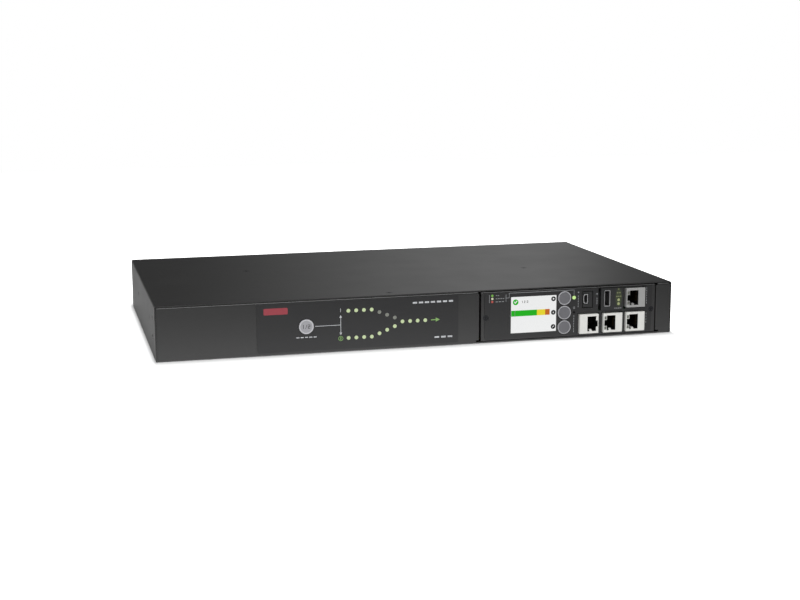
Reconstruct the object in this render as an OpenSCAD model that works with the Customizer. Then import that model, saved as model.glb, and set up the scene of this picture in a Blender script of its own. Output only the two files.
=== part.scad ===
// Rack transfer switch, one rack unit high: two mains inlets, twelve outlets and a control module.
// Origin: centre of the underside of the case. +X is to the right when facing the front,
// +Y runs from the front to the rear, +Z is up. All sizes are in millimetres.
//
// Places on the front are given as (u, z): u is the distance from the left end of the front,
// z the height above the underside.

/* [Case] */
// Width of the case without rack ears
case_w = 432; // [431:0.5:434]
// Depth from the front panel to the rear panel
case_d = 241; // [239:1:260]
// Height of the case
case_h = 44; // [43.8:0.1:44.4]
// Thickness of the sheet steel
sheet = 1; // [0.9:0.1:1.2]
// Outer radius of the folds in the tray
fold_r = 1.3; // [1.3:0.1:2]
// Outer radius of the folds between the cover and its skirts
cover_fold_r = 1.7; // [1.7:0.1:3]
// Radius of the rack ear screw holes in the tray
ear_hole_r = 1.7; // [1.4:0.1:2]

/* [Front legend] */
// Thickness of the printed overlays
overlay_t = 0.5; // [0.3:0.1:0.6]
// Radius of one indicator light
light_r = 1.5; // [1.3:0.1:1.8]
// Distance between two indicator lights along the front
light_pitch = 6.35; // [6:0.05:6.5]
// Radius of the preference button
preference_r = 5.8; // [5:0.1:6.4]

/* [Control module] */
// Radius of a key beside the display
key_r = 5.6; // [4.5:0.1:5.7]
// Distance between two keys
key_pitch = 12.25; // [12.2:0.05:12.8]
// How far a button or key travels
key_travel = 0.8; // [0.4:0.1:1]
// How far the jacks stand out of the faceplate
jack_proud = 2.6; // [1:0.1:3.4]

/* [Rear] */
// Width of one outlet in a block
outlet_pitch = 25; // [24.6:0.1:25]
// How far a tripped breaker's reset button pops out
reset_travel = 3.5; // [2:0.1:4]

/* [Hidden] */
$fn = 48;
arc_steps = 8;

front = -case_d / 2;
rear = case_d / 2;
seam = 0.3;                                // open line between the cover and the tray
skirt_gap = 0.2;                           // between the tray's sides and the cover's skirts
tray_w = case_w - 2 * (sheet + skirt_gap);
tray_h = case_h - sheet - seam;
tray_flange = 17;                          // top flanges, which the cover's front screw goes into
tray_side_h = 36;
relief = [3, 1.3, 2.8];                    // slot's corner notches: length, and height from and to
tray_corner = 0.8;                         // cut off the top corners, for the cover's folds
cover_setback = 1;                         // of the cover's top behind the front
skirt_r = 1.4;                             // of the skirts' lower front corners
running = 0.3;                             // between a button and what it slides in
stem_r = 1.3;
pin_plunger_r = 0.75;

// Planes behind the front, counted from the front panel's face.
overlay_face = front - overlay_t;
ink_t = 0.04;
panel_back = front + sheet;
lug_y = panel_back + 0.4;
lug_t = 1;
switch_face = lug_y + lug_t + key_travel + 2 * running;
stem_end = switch_face + 1.2;
small_board_y = stem_end + key_travel + 1.2;
board_t = 1.6;

// Left overlay and its legend.
legend_u = [79, 244];
legend_z = [2.5, 41.6];
legend_mid_z = 22.15;
preference_at = [118.45, 22.1];
first_light_u = 152.6;
// Heights of the two paths over or under the middle, then the shared output.
path_steps = [11.05, 11.05, 11.05, 11.05, 8.7, 6.15, 3.55];
output_lights = 4;
arrow_u = 146.25;

// Module slot, faceplate and what shows on it.
slot_u = [262.3, 418];
module_u = [263.6, 417];
module_z = [1.5, 42.3];
module_depth = 90;
module_screw_at = [[267.5, 21.2], [413.7, 21.2]];
module_overlay_u = [266.4, 413.9];
module_overlay_z = [2.8, 41.3];
screen_u = [289.3, 328.6];
screen_z = [7.1, 37.1];
screen_face = overlay_face + 0.1;
key_u = 335.8;
key_mid_z = 22.1;
status_at = [344.2, 34.3];
status_r = 1.5;
pinhole_at = [344.3, 21.9];
mini_usb_at = [354.6, 32.7];
mini_usb_size = [3.6, 7.6];
mini_usb_window = [351.6, 361, 25, 39.3];
usb_a_at = [373.2, 32.45];
usb_a_size = [5.1, 13.4];
port_housing = [367.5, 387.6, 22.6, 40.9];
port_window = [365.8, 390, 22.3, 41];
port_face = front - 2.2;
port_light_u = 383.3;
port_light_z = [30.8, 27.55];

// Jacks: low corner and size of the face, and which side the latch is on (-1 left, +1 right).
jack_w = 16.6;
jack_h = 16.05;
jack_depth = 21.3;
jack_low_z = 3.7;
jack_high_z = 23.95;
jack_u = [349, 370.2, 390.4];
jack_open = [7.8, 12.6];
jack_latch = [2.2, 5.2];
jack_margin = 6;                           // from the opening to the face's edge away from the latch
jack_cavity = 14;
jack_skin = 0.5;                           // of the pressed shield round each jack

module_board_z = 20.9;
main_board_z = 8;
main_board_top = main_board_z + board_t;

// Rear panel.
pin_places = [[-2, -7], [2, 0], [-2, 7]];
pin_tails = [44, 44, 47];                  // how far each pin reaches in from the rear panel
inlet_x = [199, 173];
breaker_x = [151.5, 135];
breaker_z = 22;
breaker_depth = 32;
reset_r = 2.9;
reset_guide = reset_travel + 8;            // length of the reset button inside the breaker
outlets_in_block = 4;
outlet_block_w = outlets_in_block * outlet_pitch;
outlet_block_x = [74, -28, -130];
rear_mid_z = 21.8;
outlet_board_y = rear - 24;
earth_at = [-198, 22];

// Cover screws: u and depth on the top, depth and height on the sides.
top_screws = [[189, 11], [93.5, 148], [335.3, 99]];
side_screws = [[49.8, 26.6], [162, 26]];
ear_holes = [[21.4, 16.5], [21.4, 31.5]];
screw_r = 1.5;
thread_gap = 0.05;
head_r = 2.9;

SEGMENTS = [
  [1, 1, 1, 0, 1, 1, 1],
  [0, 0, 1, 0, 0, 1, 0],
  [1, 0, 1, 1, 1, 0, 1],
  [1, 0, 1, 1, 0, 1, 1]
];

// ---- Shape helpers ----

function fx(u) = u - case_w / 2;
function arc(x, y, r, from, to) = [
  for (i = [0 : arc_steps])
    let (a = from + (to - from) * i / arc_steps)
      [x + r * cos(a), y + r * sin(a)]
];

// A box between two corners.
module block(x, y, z) {
  translate([x[0], y[0], z[0]])
    cube([x[1] - x[0], y[1] - y[0], z[1] - z[0]]);
}

// Extrudes a flat shape drawn in X and Z, as seen from the front, from y0 back to y1.
module facing_front(y0, y1) {
  translate([0, y1, 0])
    rotate([90, 0, 0])
      linear_extrude(y1 - y0)
        children();
}

// Extrudes a flat shape drawn in Y and Z along X.
module along_x(x0, x1) {
  translate([x0, 0, 0])
    rotate([90, 0, 90])
      linear_extrude(x1 - x0)
        children();
}

// A round rod along Y at a place on the front.
module rod(at, r, y0, y1, faces = $fn) {
  translate([fx(at[0]), y0, at[1]])
    rotate([-90, 0, 0])
      cylinder(h = y1 - y0, r = r, $fn = faces);
}

module round_rect(w, h, r) {
  polygon(concat(
    arc(w / 2 - r, h / 2 - r, r, 0, 90),
    arc(r - w / 2, h / 2 - r, r, 90, 180),
    arc(r - w / 2, r - h / 2, r, 180, 270),
    arc(w / 2 - r, r - h / 2, r, 270, 360)
  ));
}

// A flat patch on the front, given by its ends along u and z.
module patch(u0, u1, z0, z1) {
  translate([fx(u0), z0])
    square([u1 - u0, z1 - z0]);
}

module round_patch(u, z, r) {
  translate([fx((u[0] + u[1]) / 2), (z[0] + z[1]) / 2])
    round_rect(u[1] - u[0], z[1] - z[0], r);
}

module spot(at, r) {
  translate([fx(at[0]), at[1]])
    circle(r);
}

// A plain numeral made of straight strokes, its lower left corner at the origin.
module numeral(index, w, h, stroke) {
  on = SEGMENTS[index];
  half = h / 2;
  if (on[0]) translate([0, h - stroke]) square([w, stroke]);
  if (on[1]) translate([0, half]) square([stroke, half]);
  if (on[2]) translate([w - stroke, half]) square([stroke, half]);
  if (on[3]) translate([0, half - stroke / 2]) square([w, stroke]);
  if (on[4]) square([stroke, half]);
  if (on[5]) translate([w - stroke, 0]) square([stroke, half]);
  if (on[6]) square([w, stroke]);
}

// A row of equal dashes, which stands where a real unit has a word.
module dashes(u0, u1, z0, z1, count, upright = false) {
  span = upright ? z1 - z0 : u1 - u0;
  step = span / (count - 0.3);
  for (i = [0 : count - 1]) {
    if (upright) patch(u0, u1, z0 + i * step, z0 + i * step + step * 0.7);
    else patch(u0 + i * step, u0 + i * step + step * 0.7, z0, z1);
  }
}

// Section of a sheet folded at the front, bottom and rear, open at the top between two flanges.
module folded_section(y0, y1, z0, z1, r, t, flange_front, flange_rear) {
  inner = r - t > 0.2 ? r - t : 0.2;
  polygon(concat(
    [[y0 + flange_front, z1]],
    arc(y0 + r, z1 - r, r, 90, 180),
    arc(y0 + r, z0 + r, r, 180, 270),
    arc(y1 - r, z0 + r, r, 270, 360),
    arc(y1 - r, z1 - r, r, 0, 90),
    [[y1 - flange_rear, z1], [y1 - flange_rear, z1 - t]],
    arc(y1 - t - inner, z1 - t - inner, inner, 90, 0),
    arc(y1 - t - inner, z0 + t + inner, inner, 360, 270),
    arc(y0 + t + inner, z0 + t + inner, inner, 270, 180),
    arc(y0 + t + inner, z1 - t - inner, inner, 180, 90),
    [[y0 + flange_front, z1 - t]]
  ));
}

// ---- Places used by several pieces ----

function light_u(i) = first_light_u + i * light_pitch;
function path_light(side, i) = [light_u(i), legend_mid_z + side * path_steps[i]];
function output_light(i) = [light_u(i + len(path_steps)), legend_mid_z];
function key_at(i) = [key_u, key_mid_z + i * key_pitch];

module every_indicator() {
  for (i = [0 : len(path_steps) - 1])
    for (side = [-1, 1])
      translate([fx(path_light(side, i)[0]), path_light(side, i)[1]])
        children();
  for (i = [0 : output_lights - 1])
    translate([fx(output_light(i)[0]), output_light(i)[1]])
      children();
}

module on_both_sides() {
  for (side = [0, 1])
    mirror([side, 0, 0])
      children();
}

// ---- Case ----

// The strip that returns rearward at one side of the module slot.
module slot_return(u, side) {
  at = fx(u);
  translate([at, 0, relief[2]])
    linear_extrude(tray_h - sheet - 0.4 - relief[2])
      polygon(concat(
        [[side * fold_r, front]],
        [for (p = arc(0, 0, fold_r, 270, 180)) [side * (fold_r + p[0]), front + fold_r + p[1]]],
        [[0, front + 14], [side * sheet, front + 14]],
        [for (p = arc(0, 0, fold_r - sheet, 180, 270)) [side * (fold_r + p[0]), front + fold_r + p[1]]],
        [[side * (fold_r + 0.1), panel_back], [side * (fold_r + 0.1), front]]
      ));
}

module base_tray() {
  color("#35363a")
  difference() {
    union() {
      difference() {
        along_x(-tray_w / 2, tray_w / 2)
          folded_section(front, rear, 0, tray_h, fold_r, sheet, tray_flange, tray_flange);
        // Module slot with a relief notch at each lower corner.
        facing_front(front - 1, front + tray_flange + 1)
          patch(slot_u[0] - fold_r, slot_u[1] + fold_r, sheet + 0.3, case_h);
        facing_front(front - 1, panel_back + 0.5)
          patch(slot_u[0] - relief[0], slot_u[1] + relief[0], relief[1], relief[2]);
      }
      slot_return(slot_u[0], -1);
      slot_return(slot_u[1], 1);
      on_both_sides()
        block([tray_w / 2 - sheet, tray_w / 2], [front + 5, rear - 5], [sheet / 2, tray_side_h]);
    }
    facing_front(front - 1, panel_back + 1) {
      every_indicator()
        circle(light_r + 0.15);
      spot(preference_at, preference_r + running);
    }
    facing_front(rear - sheet - 1, rear + 1) {
      for (x = inlet_x)
        translate([x, rear_mid_z]) round_rect(20.4, 27.6, 2);
      for (x = outlet_block_x)
        translate([x, rear_mid_z]) square([outlet_block_w - 2.8, 30.2], center = true);
    }
    for (x = breaker_x)
      translate([x, rear - sheet - 1, breaker_z])
        rotate([-90, 0, 0]) cylinder(h = sheet + 2, r = 4.9);
    translate([earth_at[0], rear - sheet - 1, earth_at[1]])
      rotate([-90, 0, 0]) cylinder(h = sheet + 2, r = 2 + thread_gap);
    on_both_sides() {
      for (p = ear_holes)
        side_hole(p, ear_hole_r, tray_w / 2 - sheet - 1, tray_w / 2 + 1);
      for (p = side_screws)
        side_hole(p, screw_r + thread_gap, tray_w / 2 - sheet - 1, tray_w / 2 + 1);
    }
    top_hole(top_screws[0], screw_r + thread_gap, tray_h - sheet - 1, tray_h + 1);
    on_both_sides()
      facing_front(front - 1, rear + 1)
        translate([tray_w / 2, tray_h])
          polygon([[-tray_corner, 0], [-tray_corner, 1], [1, 1], [1, -tray_corner], [0, -tray_corner]]);
  }
}

module side_hole(place, r, x0, x1) {
  translate([x0, front + place[0], place[1]])
    rotate([0, 90, 0]) cylinder(h = x1 - x0, r = r);
}

module top_hole(place, r, z0, z1) {
  translate([fx(place[0]), front + place[1], z0])
    cylinder(h = z1 - z0, r = r);
}

module top_cover() {
  w = case_w / 2;
  r = cover_fold_r;
  lip = sheet - 0.1;
  color("#2f3033")
  difference() {
    translate([0, rear, 0])
      rotate([90, 0, 0])
        linear_extrude(case_d)
          polygon(concat(
            [[-w + sheet, 0]],
            arc(-w + lip, lip, lip, 270, 180),
            arc(-w + r, case_h - r, r, 180, 90),
            arc(w - r, case_h - r, r, 90, 0),
            arc(w - lip, lip, lip, 0, -90),
            [[w - sheet, 0]],
            arc(w - r, case_h - r, r - sheet, 0, 90),
            arc(-w + r, case_h - r, r - sheet, 90, 180)
          ));
    block([r - w, w - r], [front - 1, front + cover_setback], [case_h - sheet - 1, case_h + 1]);
    along_x(-w - 1, w + 1)
      translate([front, 0])
        polygon(concat([[-1, skirt_r], [-1, -1], [skirt_r, -1]], arc(skirt_r, skirt_r, skirt_r, 270, 180)));
    on_both_sides() {
      for (p = ear_holes)
        side_hole(p, ear_hole_r + 0.5, w - sheet - 1, w + 1);
      for (p = side_screws)
        translate([w - sheet - 0.01, front + p[0], p[1]])
          rotate([0, 90, 0]) cylinder(h = sheet + 0.02, r1 = head_r - sheet, r2 = head_r + 0.02);
    }
    for (p = top_screws)
      translate([fx(p[0]), front + p[1], case_h - sheet - 0.01])
        cylinder(h = sheet + 0.02, r1 = head_r - sheet, r2 = head_r + 0.02);
  }
}

// A countersunk screw pointing down, its head's face at z = 0.
module sunk_screw(head, shank, length) {
  difference() {
    union() {
      translate([0, 0, -sheet])
        cylinder(h = sheet, r1 = head - sheet - 0.05, r2 = head - 0.05);
      translate([0, 0, -length])
        cylinder(h = length - sheet + 0.1, r = shank);
    }
    // Cross recess for a driver.
    for (turn = [0, 90])
      rotate([0, 0, turn])
        translate([-head * 0.55, -0.3, -0.7]) cube([head * 1.1, 0.6, 1]);
  }
}

module cover_screws() {
  color("#1d1e20") {
    for (p = top_screws)
      translate([fx(p[0]), front + p[1], case_h])
        sunk_screw(head_r, screw_r, 6);
    on_both_sides()
      for (p = side_screws)
        translate([case_w / 2, front + p[0], p[1]])
          rotate([0, 90, 0]) sunk_screw(head_r, screw_r, 5);
  }
}

module cover_posts() {
  color("#b9bcc0")
    for (i = [1, 2])
      difference() {
        translate([fx(top_screws[i][0]), front + top_screws[i][1], sheet])
          cylinder(h = case_h - 2 * sheet, r = 3.2, $fn = 6);
        top_hole(top_screws[i], screw_r + thread_gap, case_h - sheet - 9, case_h);
      }
}

// Two upright angles behind the faceplate's ends, with the threads for its screws. A foot joins
// each to the slot's side, well behind the open gap.
module module_brackets() {
  foot_z = [4, 38];
  color("#35363a")
    for (i = [0, 1]) {
      side = i == 0 ? 1 : -1;
      slot = fx(slot_u[i]);
      leg = fx(module_u[i]) + side * 0.4;
      far = fx(module_screw_at[i][0]) + side * 4;
      difference() {
        union() {
          block([min(leg, far), max(leg, far)], [panel_back + 0.1, panel_back + 2.1], foot_z);
          block([min(leg, leg + side * 1.2), max(leg, leg + side * 1.2)], [panel_back + 0.1, front + 14], foot_z);
          block([min(slot, leg), max(slot, leg)], [front + 10, front + 14], foot_z);
        }
        rod(module_screw_at[i], screw_r + thread_gap, front, front + 5);
      }
    }
}

// Main board posts and module board posts.
module board_standoffs() {
  main_places = [[-190, -95], [20, -95], [-190, 10], [-60, 70], [20, 0], [190, 5], [60, 70], [-190, 70]];
  module_places = [[274, 40], [404, 60], [274, 82], [404, 82]];
  color("#c9a64b") {
    for (p = main_places)
      translate([p[0], p[1], sheet])
        cylinder(h = main_board_z - sheet, r = 3, $fn = 6);
    for (p = module_places)
      translate([fx(p[0]), front + p[1], module_z[0] + sheet])
        cylinder(h = module_board_z - module_z[0] - sheet, r = 2.6, $fn = 6);
  }
}

// ---- Left half of the front ----

module front_overlay() {
  color("#303134")
    facing_front(overlay_face, front)
      difference() {
        round_patch(legend_u, legend_z, 1.5);
        every_indicator()
          circle(light_r + 0.05);
        spot(preference_at, preference_r + running);
      }
}

// Printed lines, arrows and dashes on both overlays and under the port lights.
module front_print() {
  color("#b8babd") {
    facing_front(overlay_face - ink_t, overlay_face) {
      legend_ink();
      module_ink();
    }
    facing_front(port_face - ink_t, port_face)
      dashes(379.6, 385.8, 23.6, 24.2, 4);
  }
}

module legend_ink() {
  head = 1.9;
  top = legend_mid_z + 7.75;
  bottom = legend_mid_z - 8.25;
  patch(125.6, arrow_u, legend_mid_z - 0.35, legend_mid_z + 0.05);
  patch(arrow_u - 0.2, arrow_u + 0.2, bottom + head, top - head);
  translate([fx(arrow_u), top]) polygon([[0, 0], [-1.15, -head], [1.15, -head]]);
  translate([fx(arrow_u), bottom]) polygon([[0, 0], [-1.15, head], [1.15, head]]);
  dashes(110.3, 126.6, 13.1, 13.9, 5);
  dashes(205.7, 239.4, 36.2, 37.6, 7);
  dashes(223.9, 238.9, 7, 8.4, 3);
  translate([fx(145.5), 32.3]) numeral(1, 0.9, 3, 0.35);
}

module module_ink() {
  line = 0.35;
  lead_z = 36.7;
  top_z = 40.6;
  lead_u = 287.3;
  end_u = 343.95;
  patch(270.25, 270.25 + line, 33.4, 40);
  dashes(275.8, 278.6, 39.1, 39.6, 2);
  dashes(275.8, 283.2, 36.4, 36.95, 4);
  dashes(275.8, 283, 33.85, 34.4, 3);
  patch(284.5, 284.5 + line, 33.8, 39.8);
  // Leader from the dots to the status light.
  patch(284.5, lead_u, lead_z, lead_z + line);
  patch(lead_u, lead_u + line, lead_z, top_z + line);
  patch(lead_u, end_u, top_z, top_z + line);
  patch(end_u, end_u + line, 36.6, top_z + line);
  // Upright dashes beside the ports.
  dashes(344, 344.5, 5, 19.5, 7, true);
  dashes(347.7, 348.2, 26, 36, 5, true);
  spot([348, 38.6], 0.6);
  dashes(364.3, 364.8, 27.8, 33.4, 3, true);
  spot([364.5, 36.4], 0.6);
  dashes(409, 409.4, 26, 40, 7, true);
  dashes(409, 409.4, 9.5, 18.3, 4, true);
  patch(343.5, 345.1, 25, 25.5);
  patch(343.5, 345.1, 26.1, 26.6);
}

module red_bar() {
  color("#b02a34")
    facing_front(overlay_face - ink_t, overlay_face)
      round_patch([84.5, 103.7], [32.9, 38.1], 0.8);
}

// Lit symbols: a ringed numeral for the second source and an arrow for the output.
module lit_marks() {
  ring_at = [146.2, 11];
  color("#8fd14a")
    facing_front(overlay_face - ink_t, overlay_face) {
      difference() {
        spot(ring_at, 1.95);
        spot(ring_at, 1.6);
      }
      translate([fx(ring_at[0]) - 0.55, ring_at[1] - 1]) numeral(2, 1.1, 2, 0.35);
      translate([fx(220.9), legend_mid_z]) {
        polygon([[0, -0.4], [4, -0.4], [4, -1.7], [7.4, 0], [4, 1.7], [4, 0.4], [0, 0.4]]);
      }
    }
}

// A round cap with a raised rim, two lugs that keep it behind the panel, and its stem.
module pressed_cap(at, r, rim, lug_w, lug_h) {
  cap_face = overlay_face - 0.35;
  difference() {
    union() {
      rod(at, r, cap_face, lug_y + 0.2);
      translate([fx(at[0]) - lug_w / 2, lug_y, at[1] - lug_h / 2])
        cube([lug_w, lug_t, lug_h]);
      rod(at, stem_r, lug_y + lug_t - 0.1, stem_end);
    }
    rod(at, r - rim, cap_face - 1, cap_face + 0.2);
  }
}

module preference_button() {
  color("#b4b4b8")
    difference() {
      pressed_cap(preference_at, preference_r, 0.9, 16.4, 8);
      // Plain numerals either side of a slanted stroke, sunk in the cap.
      facing_front(overlay_face - 1, overlay_face + 0.15)
        translate([fx(preference_at[0]), preference_at[1] - 1.65]) {
          translate([-3.1, 0]) numeral(1, 1, 3.3, 0.55);
          translate([-0.9, 0]) rotate([0, 0, -20]) square([0.5, 3.5]);
          translate([1.2, 0]) numeral(2, 1.9, 3.3, 0.55);
        }
    }
}

module key_switch(at, w, y_back) {
  difference() {
    translate([fx(at[0]) - w / 2, switch_face, at[1] - w / 2])
      cube([w, y_back - switch_face, w]);
    rod(at, stem_r + running, switch_face - 1, stem_end + key_travel + running);
  }
}

module preference_switch() {
  color("#26272a")
    key_switch(preference_at, 9, small_board_y);
}

module indicator_board() {
  color("#1f5a38")
    facing_front(small_board_y, small_board_y + board_t)
      patch(104, 236, 5, 40);
}

module light_pipe(at) {
  rod(at, light_r, overlay_face - 0.05, small_board_y, 24);
}

module lit_lights() {
  color("#b9e67c") {
    for (i = [0 : 3])
      light_pipe(path_light(1, i));
    for (i = [0 : len(path_steps) - 1])
      light_pipe(path_light(-1, i));
    for (i = [0 : output_lights - 1])
      light_pipe(output_light(i));
  }
}

module dark_lights() {
  color("#6e6f6b")
    for (i = [4 : len(path_steps) - 1])
      light_pipe(path_light(1, i));
}

// ---- Control module ----

// Openings that go through both the faceplate and its overlay.
module faceplate_openings(extra) {
  round_patch([screen_u[0] - 0.2, screen_u[1] + 0.2], [screen_z[0] - 0.2, screen_z[1] + 0.2], 0.3);
  for (i = [-1 : 1])
    spot(key_at(i), key_r + running);
  spot(status_at, status_r + 0.1);
  spot(pinhole_at, 1.1);
  for (u = jack_u)
    patch(u - extra, u + jack_w + extra, jack_low_z - extra, jack_low_z + jack_h + extra);
  patch(jack_u[2] - extra, jack_u[2] + jack_w + extra, jack_high_z - extra, jack_high_z + jack_h + extra);
}

module module_tray() {
  end = front + module_depth;
  r = sheet + 0.1;
  inner = 0.1;
  color("#3a3b3e")
  difference() {
    along_x(fx(module_u[0]), fx(module_u[1]))
      polygon(concat(
        [[front + 9, module_z[1]]],
        arc(front + r, module_z[1] - r, r, 90, 180),
        arc(front + r, module_z[0] + r, r, 180, 270),
        [[end, module_z[0]], [end, module_z[0] + sheet]],
        arc(front + r, module_z[0] + r, inner, 270, 180),
        arc(front + r, module_z[1] - r, inner, 180, 90),
        [[front + 9, module_z[1] - sheet]]
      ));
    facing_front(front - 1, panel_back + 1) {
      faceplate_openings(0.7);
      patch(mini_usb_window[0], mini_usb_window[1], mini_usb_window[2], mini_usb_window[3]);
      patch(port_window[0], port_window[1], port_window[2], port_window[3]);
    }
    for (at = module_screw_at) {
      rod(at, screw_r + 0.15, front - 1, panel_back + 1);
      translate([fx(at[0]), front - 0.01, at[1]])
        rotate([-90, 0, 0]) cylinder(h = 0.91, r1 = 2.42, r2 = screw_r);
    }
  }
}

module module_overlay() {
  color("#2d2e31")
    facing_front(overlay_face, front)
      difference() {
        round_patch(module_overlay_u, module_overlay_z, 1.5);
        faceplate_openings(1);
        patch(mini_usb_window[0], mini_usb_window[1], mini_usb_window[2], mini_usb_window[3]);
        patch(port_window[0], port_window[1], port_window[2], port_window[3] + 1);
        for (at = module_screw_at)
          spot(at, 2.7);
      }
}

module module_screws() {
  color("#18191b")
    for (at = module_screw_at)
      translate([fx(at[0]), front, at[1]])
        rotate([90, 0, 0])
          difference() {
            union() {
              translate([0, 0, -0.9]) cylinder(h = 0.9, r1 = screw_r - 0.05, r2 = 2.35);
              translate([0, 0, -5]) cylinder(h = 4.3, r = screw_r);
            }
            for (turn = [0, 90])
              rotate([0, 0, turn])
                translate([-1.5, -0.4, -0.6]) cube([3, 0.8, 1]);
          }
}

module display_panel() {
  color("#eef0f0") {
    facing_front(screen_face, panel_back + 0.2)
      patch(screen_u[0], screen_u[1], screen_z[0], screen_z[1]);
    facing_front(panel_back + 0.2, small_board_y - 1.4)
      patch(screen_u[0] - 3, screen_u[1] + 0.1, screen_z[0] - 2, screen_z[1] + 2);
  }
}

module on_screen() {
  facing_front(screen_face - ink_t, screen_face)
    children();
}

// Load bar's green part, and a round badge with a tick left open in it.
module screen_green() {
  badge = [293.1, 32.9];
  color("#1fa51c")
    on_screen() {
      load_bar(screen_u[0], 292.3);
      load_bar(292.7, 311.7);
      difference() {
        spot(badge, 2.4);
        translate([fx(badge[0]), badge[1]])
          polygon([[-1.4, 0.15], [-0.8, 0.7], [-0.25, -0.2], [0.9, 1.45], [1.5, 0.9], [-0.25, -1.4]]);
      }
    }
}

module load_bar(u0, u1) {
  patch(u0, u1, 21.05, 25.9);
}

module screen_yellow() {
  color("#f2d21c")
    on_screen()
      load_bar(311.7, 318.9);
}

module screen_orange() {
  color("#d8591c")
    on_screen()
      load_bar(318.9, 322.9);
}

// A reading in plain numerals, a mark on the load bar, and three round key symbols.
module screen_symbols() {
  symbol_u = 326.1;
  color("#1b1c1e")
    on_screen() {
      for (i = [0 : 2])
        translate([fx(298 + i * 2.4), 32]) numeral([1, 2, 0][i], 1.1, 1.9, 0.3);
      load_bar(292.35, 292.65);
      for (i = [-1 : 1]) {
        z = 22.8 + i * (i == 1 ? 11.4 : 11.95);
        difference() {
          spot([symbol_u, z], 2);
          translate([fx(symbol_u), z])
            if (i == 1) circle(0.7);
            else if (i == 0) polygon([[-0.65, -0.6], [0.65, -0.6], [0, 0.8]]);
            else rotate([0, 0, 40]) square([1.8, 0.55], center = true);
        }
      }
    }
}

module display_key(i) {
  color("#7b7b80")
    pressed_cap(key_at(i), key_r, 0.6, 12.8, 7);
}

module upper_key() {
  display_key(1);
}

module middle_key() {
  display_key(0);
}

module lower_key() {
  display_key(-1);
}

// Small plunger that a pin reaches through the faceplate.
module recessed_button() {
  color("#1b1c1e")
    rod(pinhole_at, pin_plunger_r, lug_y, stem_end, 24);
}

module display_board() {
  color("#1f5a38")
    facing_front(small_board_y, small_board_y + board_t)
      patch(286.8, 348.2, 4, 40);
}

module display_switches() {
  color("#26272a") {
    for (i = [-1 : 1])
      key_switch(key_at(i), 6, small_board_y);
    difference() {
      translate([fx(pinhole_at[0]) - 1.8, switch_face, pinhole_at[1] - 3])
        cube([4, small_board_y - switch_face, 6]);
      rod(pinhole_at, pin_plunger_r + running, switch_face - 1, stem_end + key_travel + running, 24);
    }
  }
}

module status_light() {
  color("#8be04a")
    rod(status_at, status_r, overlay_face - 0.3, small_board_y, 24);
}

// Housing round the USB-A port and the port lights, and a plate round the mini port. A web behind
// the faceplate joins the two.
module port_bezels() {
  gap = 0.6;
  w = mini_usb_window;
  web_y = [panel_back + 0.4, panel_back + 2];
  color("#1f2022")
    difference() {
      union() {
        facing_front(port_face, front + 16)
          patch(port_housing[0], port_housing[1], port_housing[2], port_housing[3]);
        facing_front(front - 0.4, web_y[1])
          patch(w[0] + gap, w[1] - gap, w[2] + gap, w[3] - gap);
        block([fx(w[1]) - gap - 0.1, fx(port_housing[0]) + 0.1], web_y, [w[2] + 2, w[3] - 2]);
      }
      facing_front(port_face - 1, front + 17) {
        usb_a_section(0.1);
        mini_usb_section(0.6);
      }
      for (z = port_light_z)
        rod([port_light_u, z], 1.15, port_face - 1, front + 4);
    }
}

// The two round port lights, and three rows of small lit dashes above them.
module port_lights() {
  color("#c5d65a") {
    for (z = port_light_z)
      rod([port_light_u, z], 1.1, port_face - 0.1, front + 4, 24);
    facing_front(port_face - ink_t, port_face) {
      dashes(382.5, 383.7, 39.5, 40.4, 1);
      dashes(381.5, 384.9, 36.4, 37.3, 2);
      dashes(381, 385.6, 33.3, 34.2, 3);
    }
  }
}

module usb_a_shell() {
  wall = 0.3;
  color("#c9ccd0")
    facing_front(port_face + 0.3, front + 16)
      difference() {
        usb_a_section(0);
        usb_a_section(-wall);
      }
}

module usb_a_section(grow) {
  translate([fx(usb_a_at[0]), usb_a_at[1]])
    round_rect(usb_a_size[0] + 2 * grow, usb_a_size[1] + 2 * grow, 0.7 + grow);
}

// Section of the mini connector: upright, its two corners away from the latch side cut off.
module mini_usb_section(grow) {
  w = mini_usb_size[0] / 2 + grow;
  h = mini_usb_size[1] / 2 + grow;
  cut = 0.9;
  translate([fx(mini_usb_at[0]), mini_usb_at[1]])
    polygon([[-w, -h + cut], [-w + cut, -h], [w, -h], [w, h], [-w + cut, h], [-w, h - cut]]);
}

module mini_usb_shell() {
  color("#c9ccd0")
    facing_front(front - 0.4, front + 9.2)
      difference() {
        mini_usb_section(0);
        mini_usb_section(-0.25);
      }
}

// Plastic inside the ports: a body in each jack's shield, and the USB tongues with the bodies
// that stand on the module board.
module port_insulators() {
  board_top = module_board_z + board_t;
  color("#1a1b1d") {
    every_jack()
      jack_insulator($at, $latch);
    block([fx(usb_a_at[0]) - 0.1, fx(usb_a_at[0]) + 1.5], [front + 0.6, front + 16], [27.2, 36.6]);
    block([fx(usb_a_at[0]) - 2.45, fx(usb_a_at[0]) + 2.45], [front + 16, front + 18], [board_top, 38.3]);
    block([fx(mini_usb_at[0]) - 0.4, fx(mini_usb_at[0]) + 0.5], [front + 1, front + 9.2], [29.8, 35.2]);
    block([fx(mini_usb_at[0]) - 1.8, fx(mini_usb_at[0]) + 1.8], [front + 9.2, front + 11], [board_top, 36.5]);
  }
}

// Runs its children once for each jack, with $at its low corner (u, z) and $latch the latch's side.
module every_jack() {
  network_at() children();
  sensor_at() children();
  console_at() children();
}

module network_at() {
  $at = [jack_u[2], jack_high_z];
  $latch = -1;
  children();
}

module sensor_at() {
  $latch = -1;
  for (i = [1, 2]) {
    $at = [jack_u[i], jack_low_z];
    children();
  }
}

module console_at() {
  $at = [jack_u[0], jack_low_z];
  $latch = 1;
  children();
}

function jack_mid_z(at) = at[1] + jack_h / 2;

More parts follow.
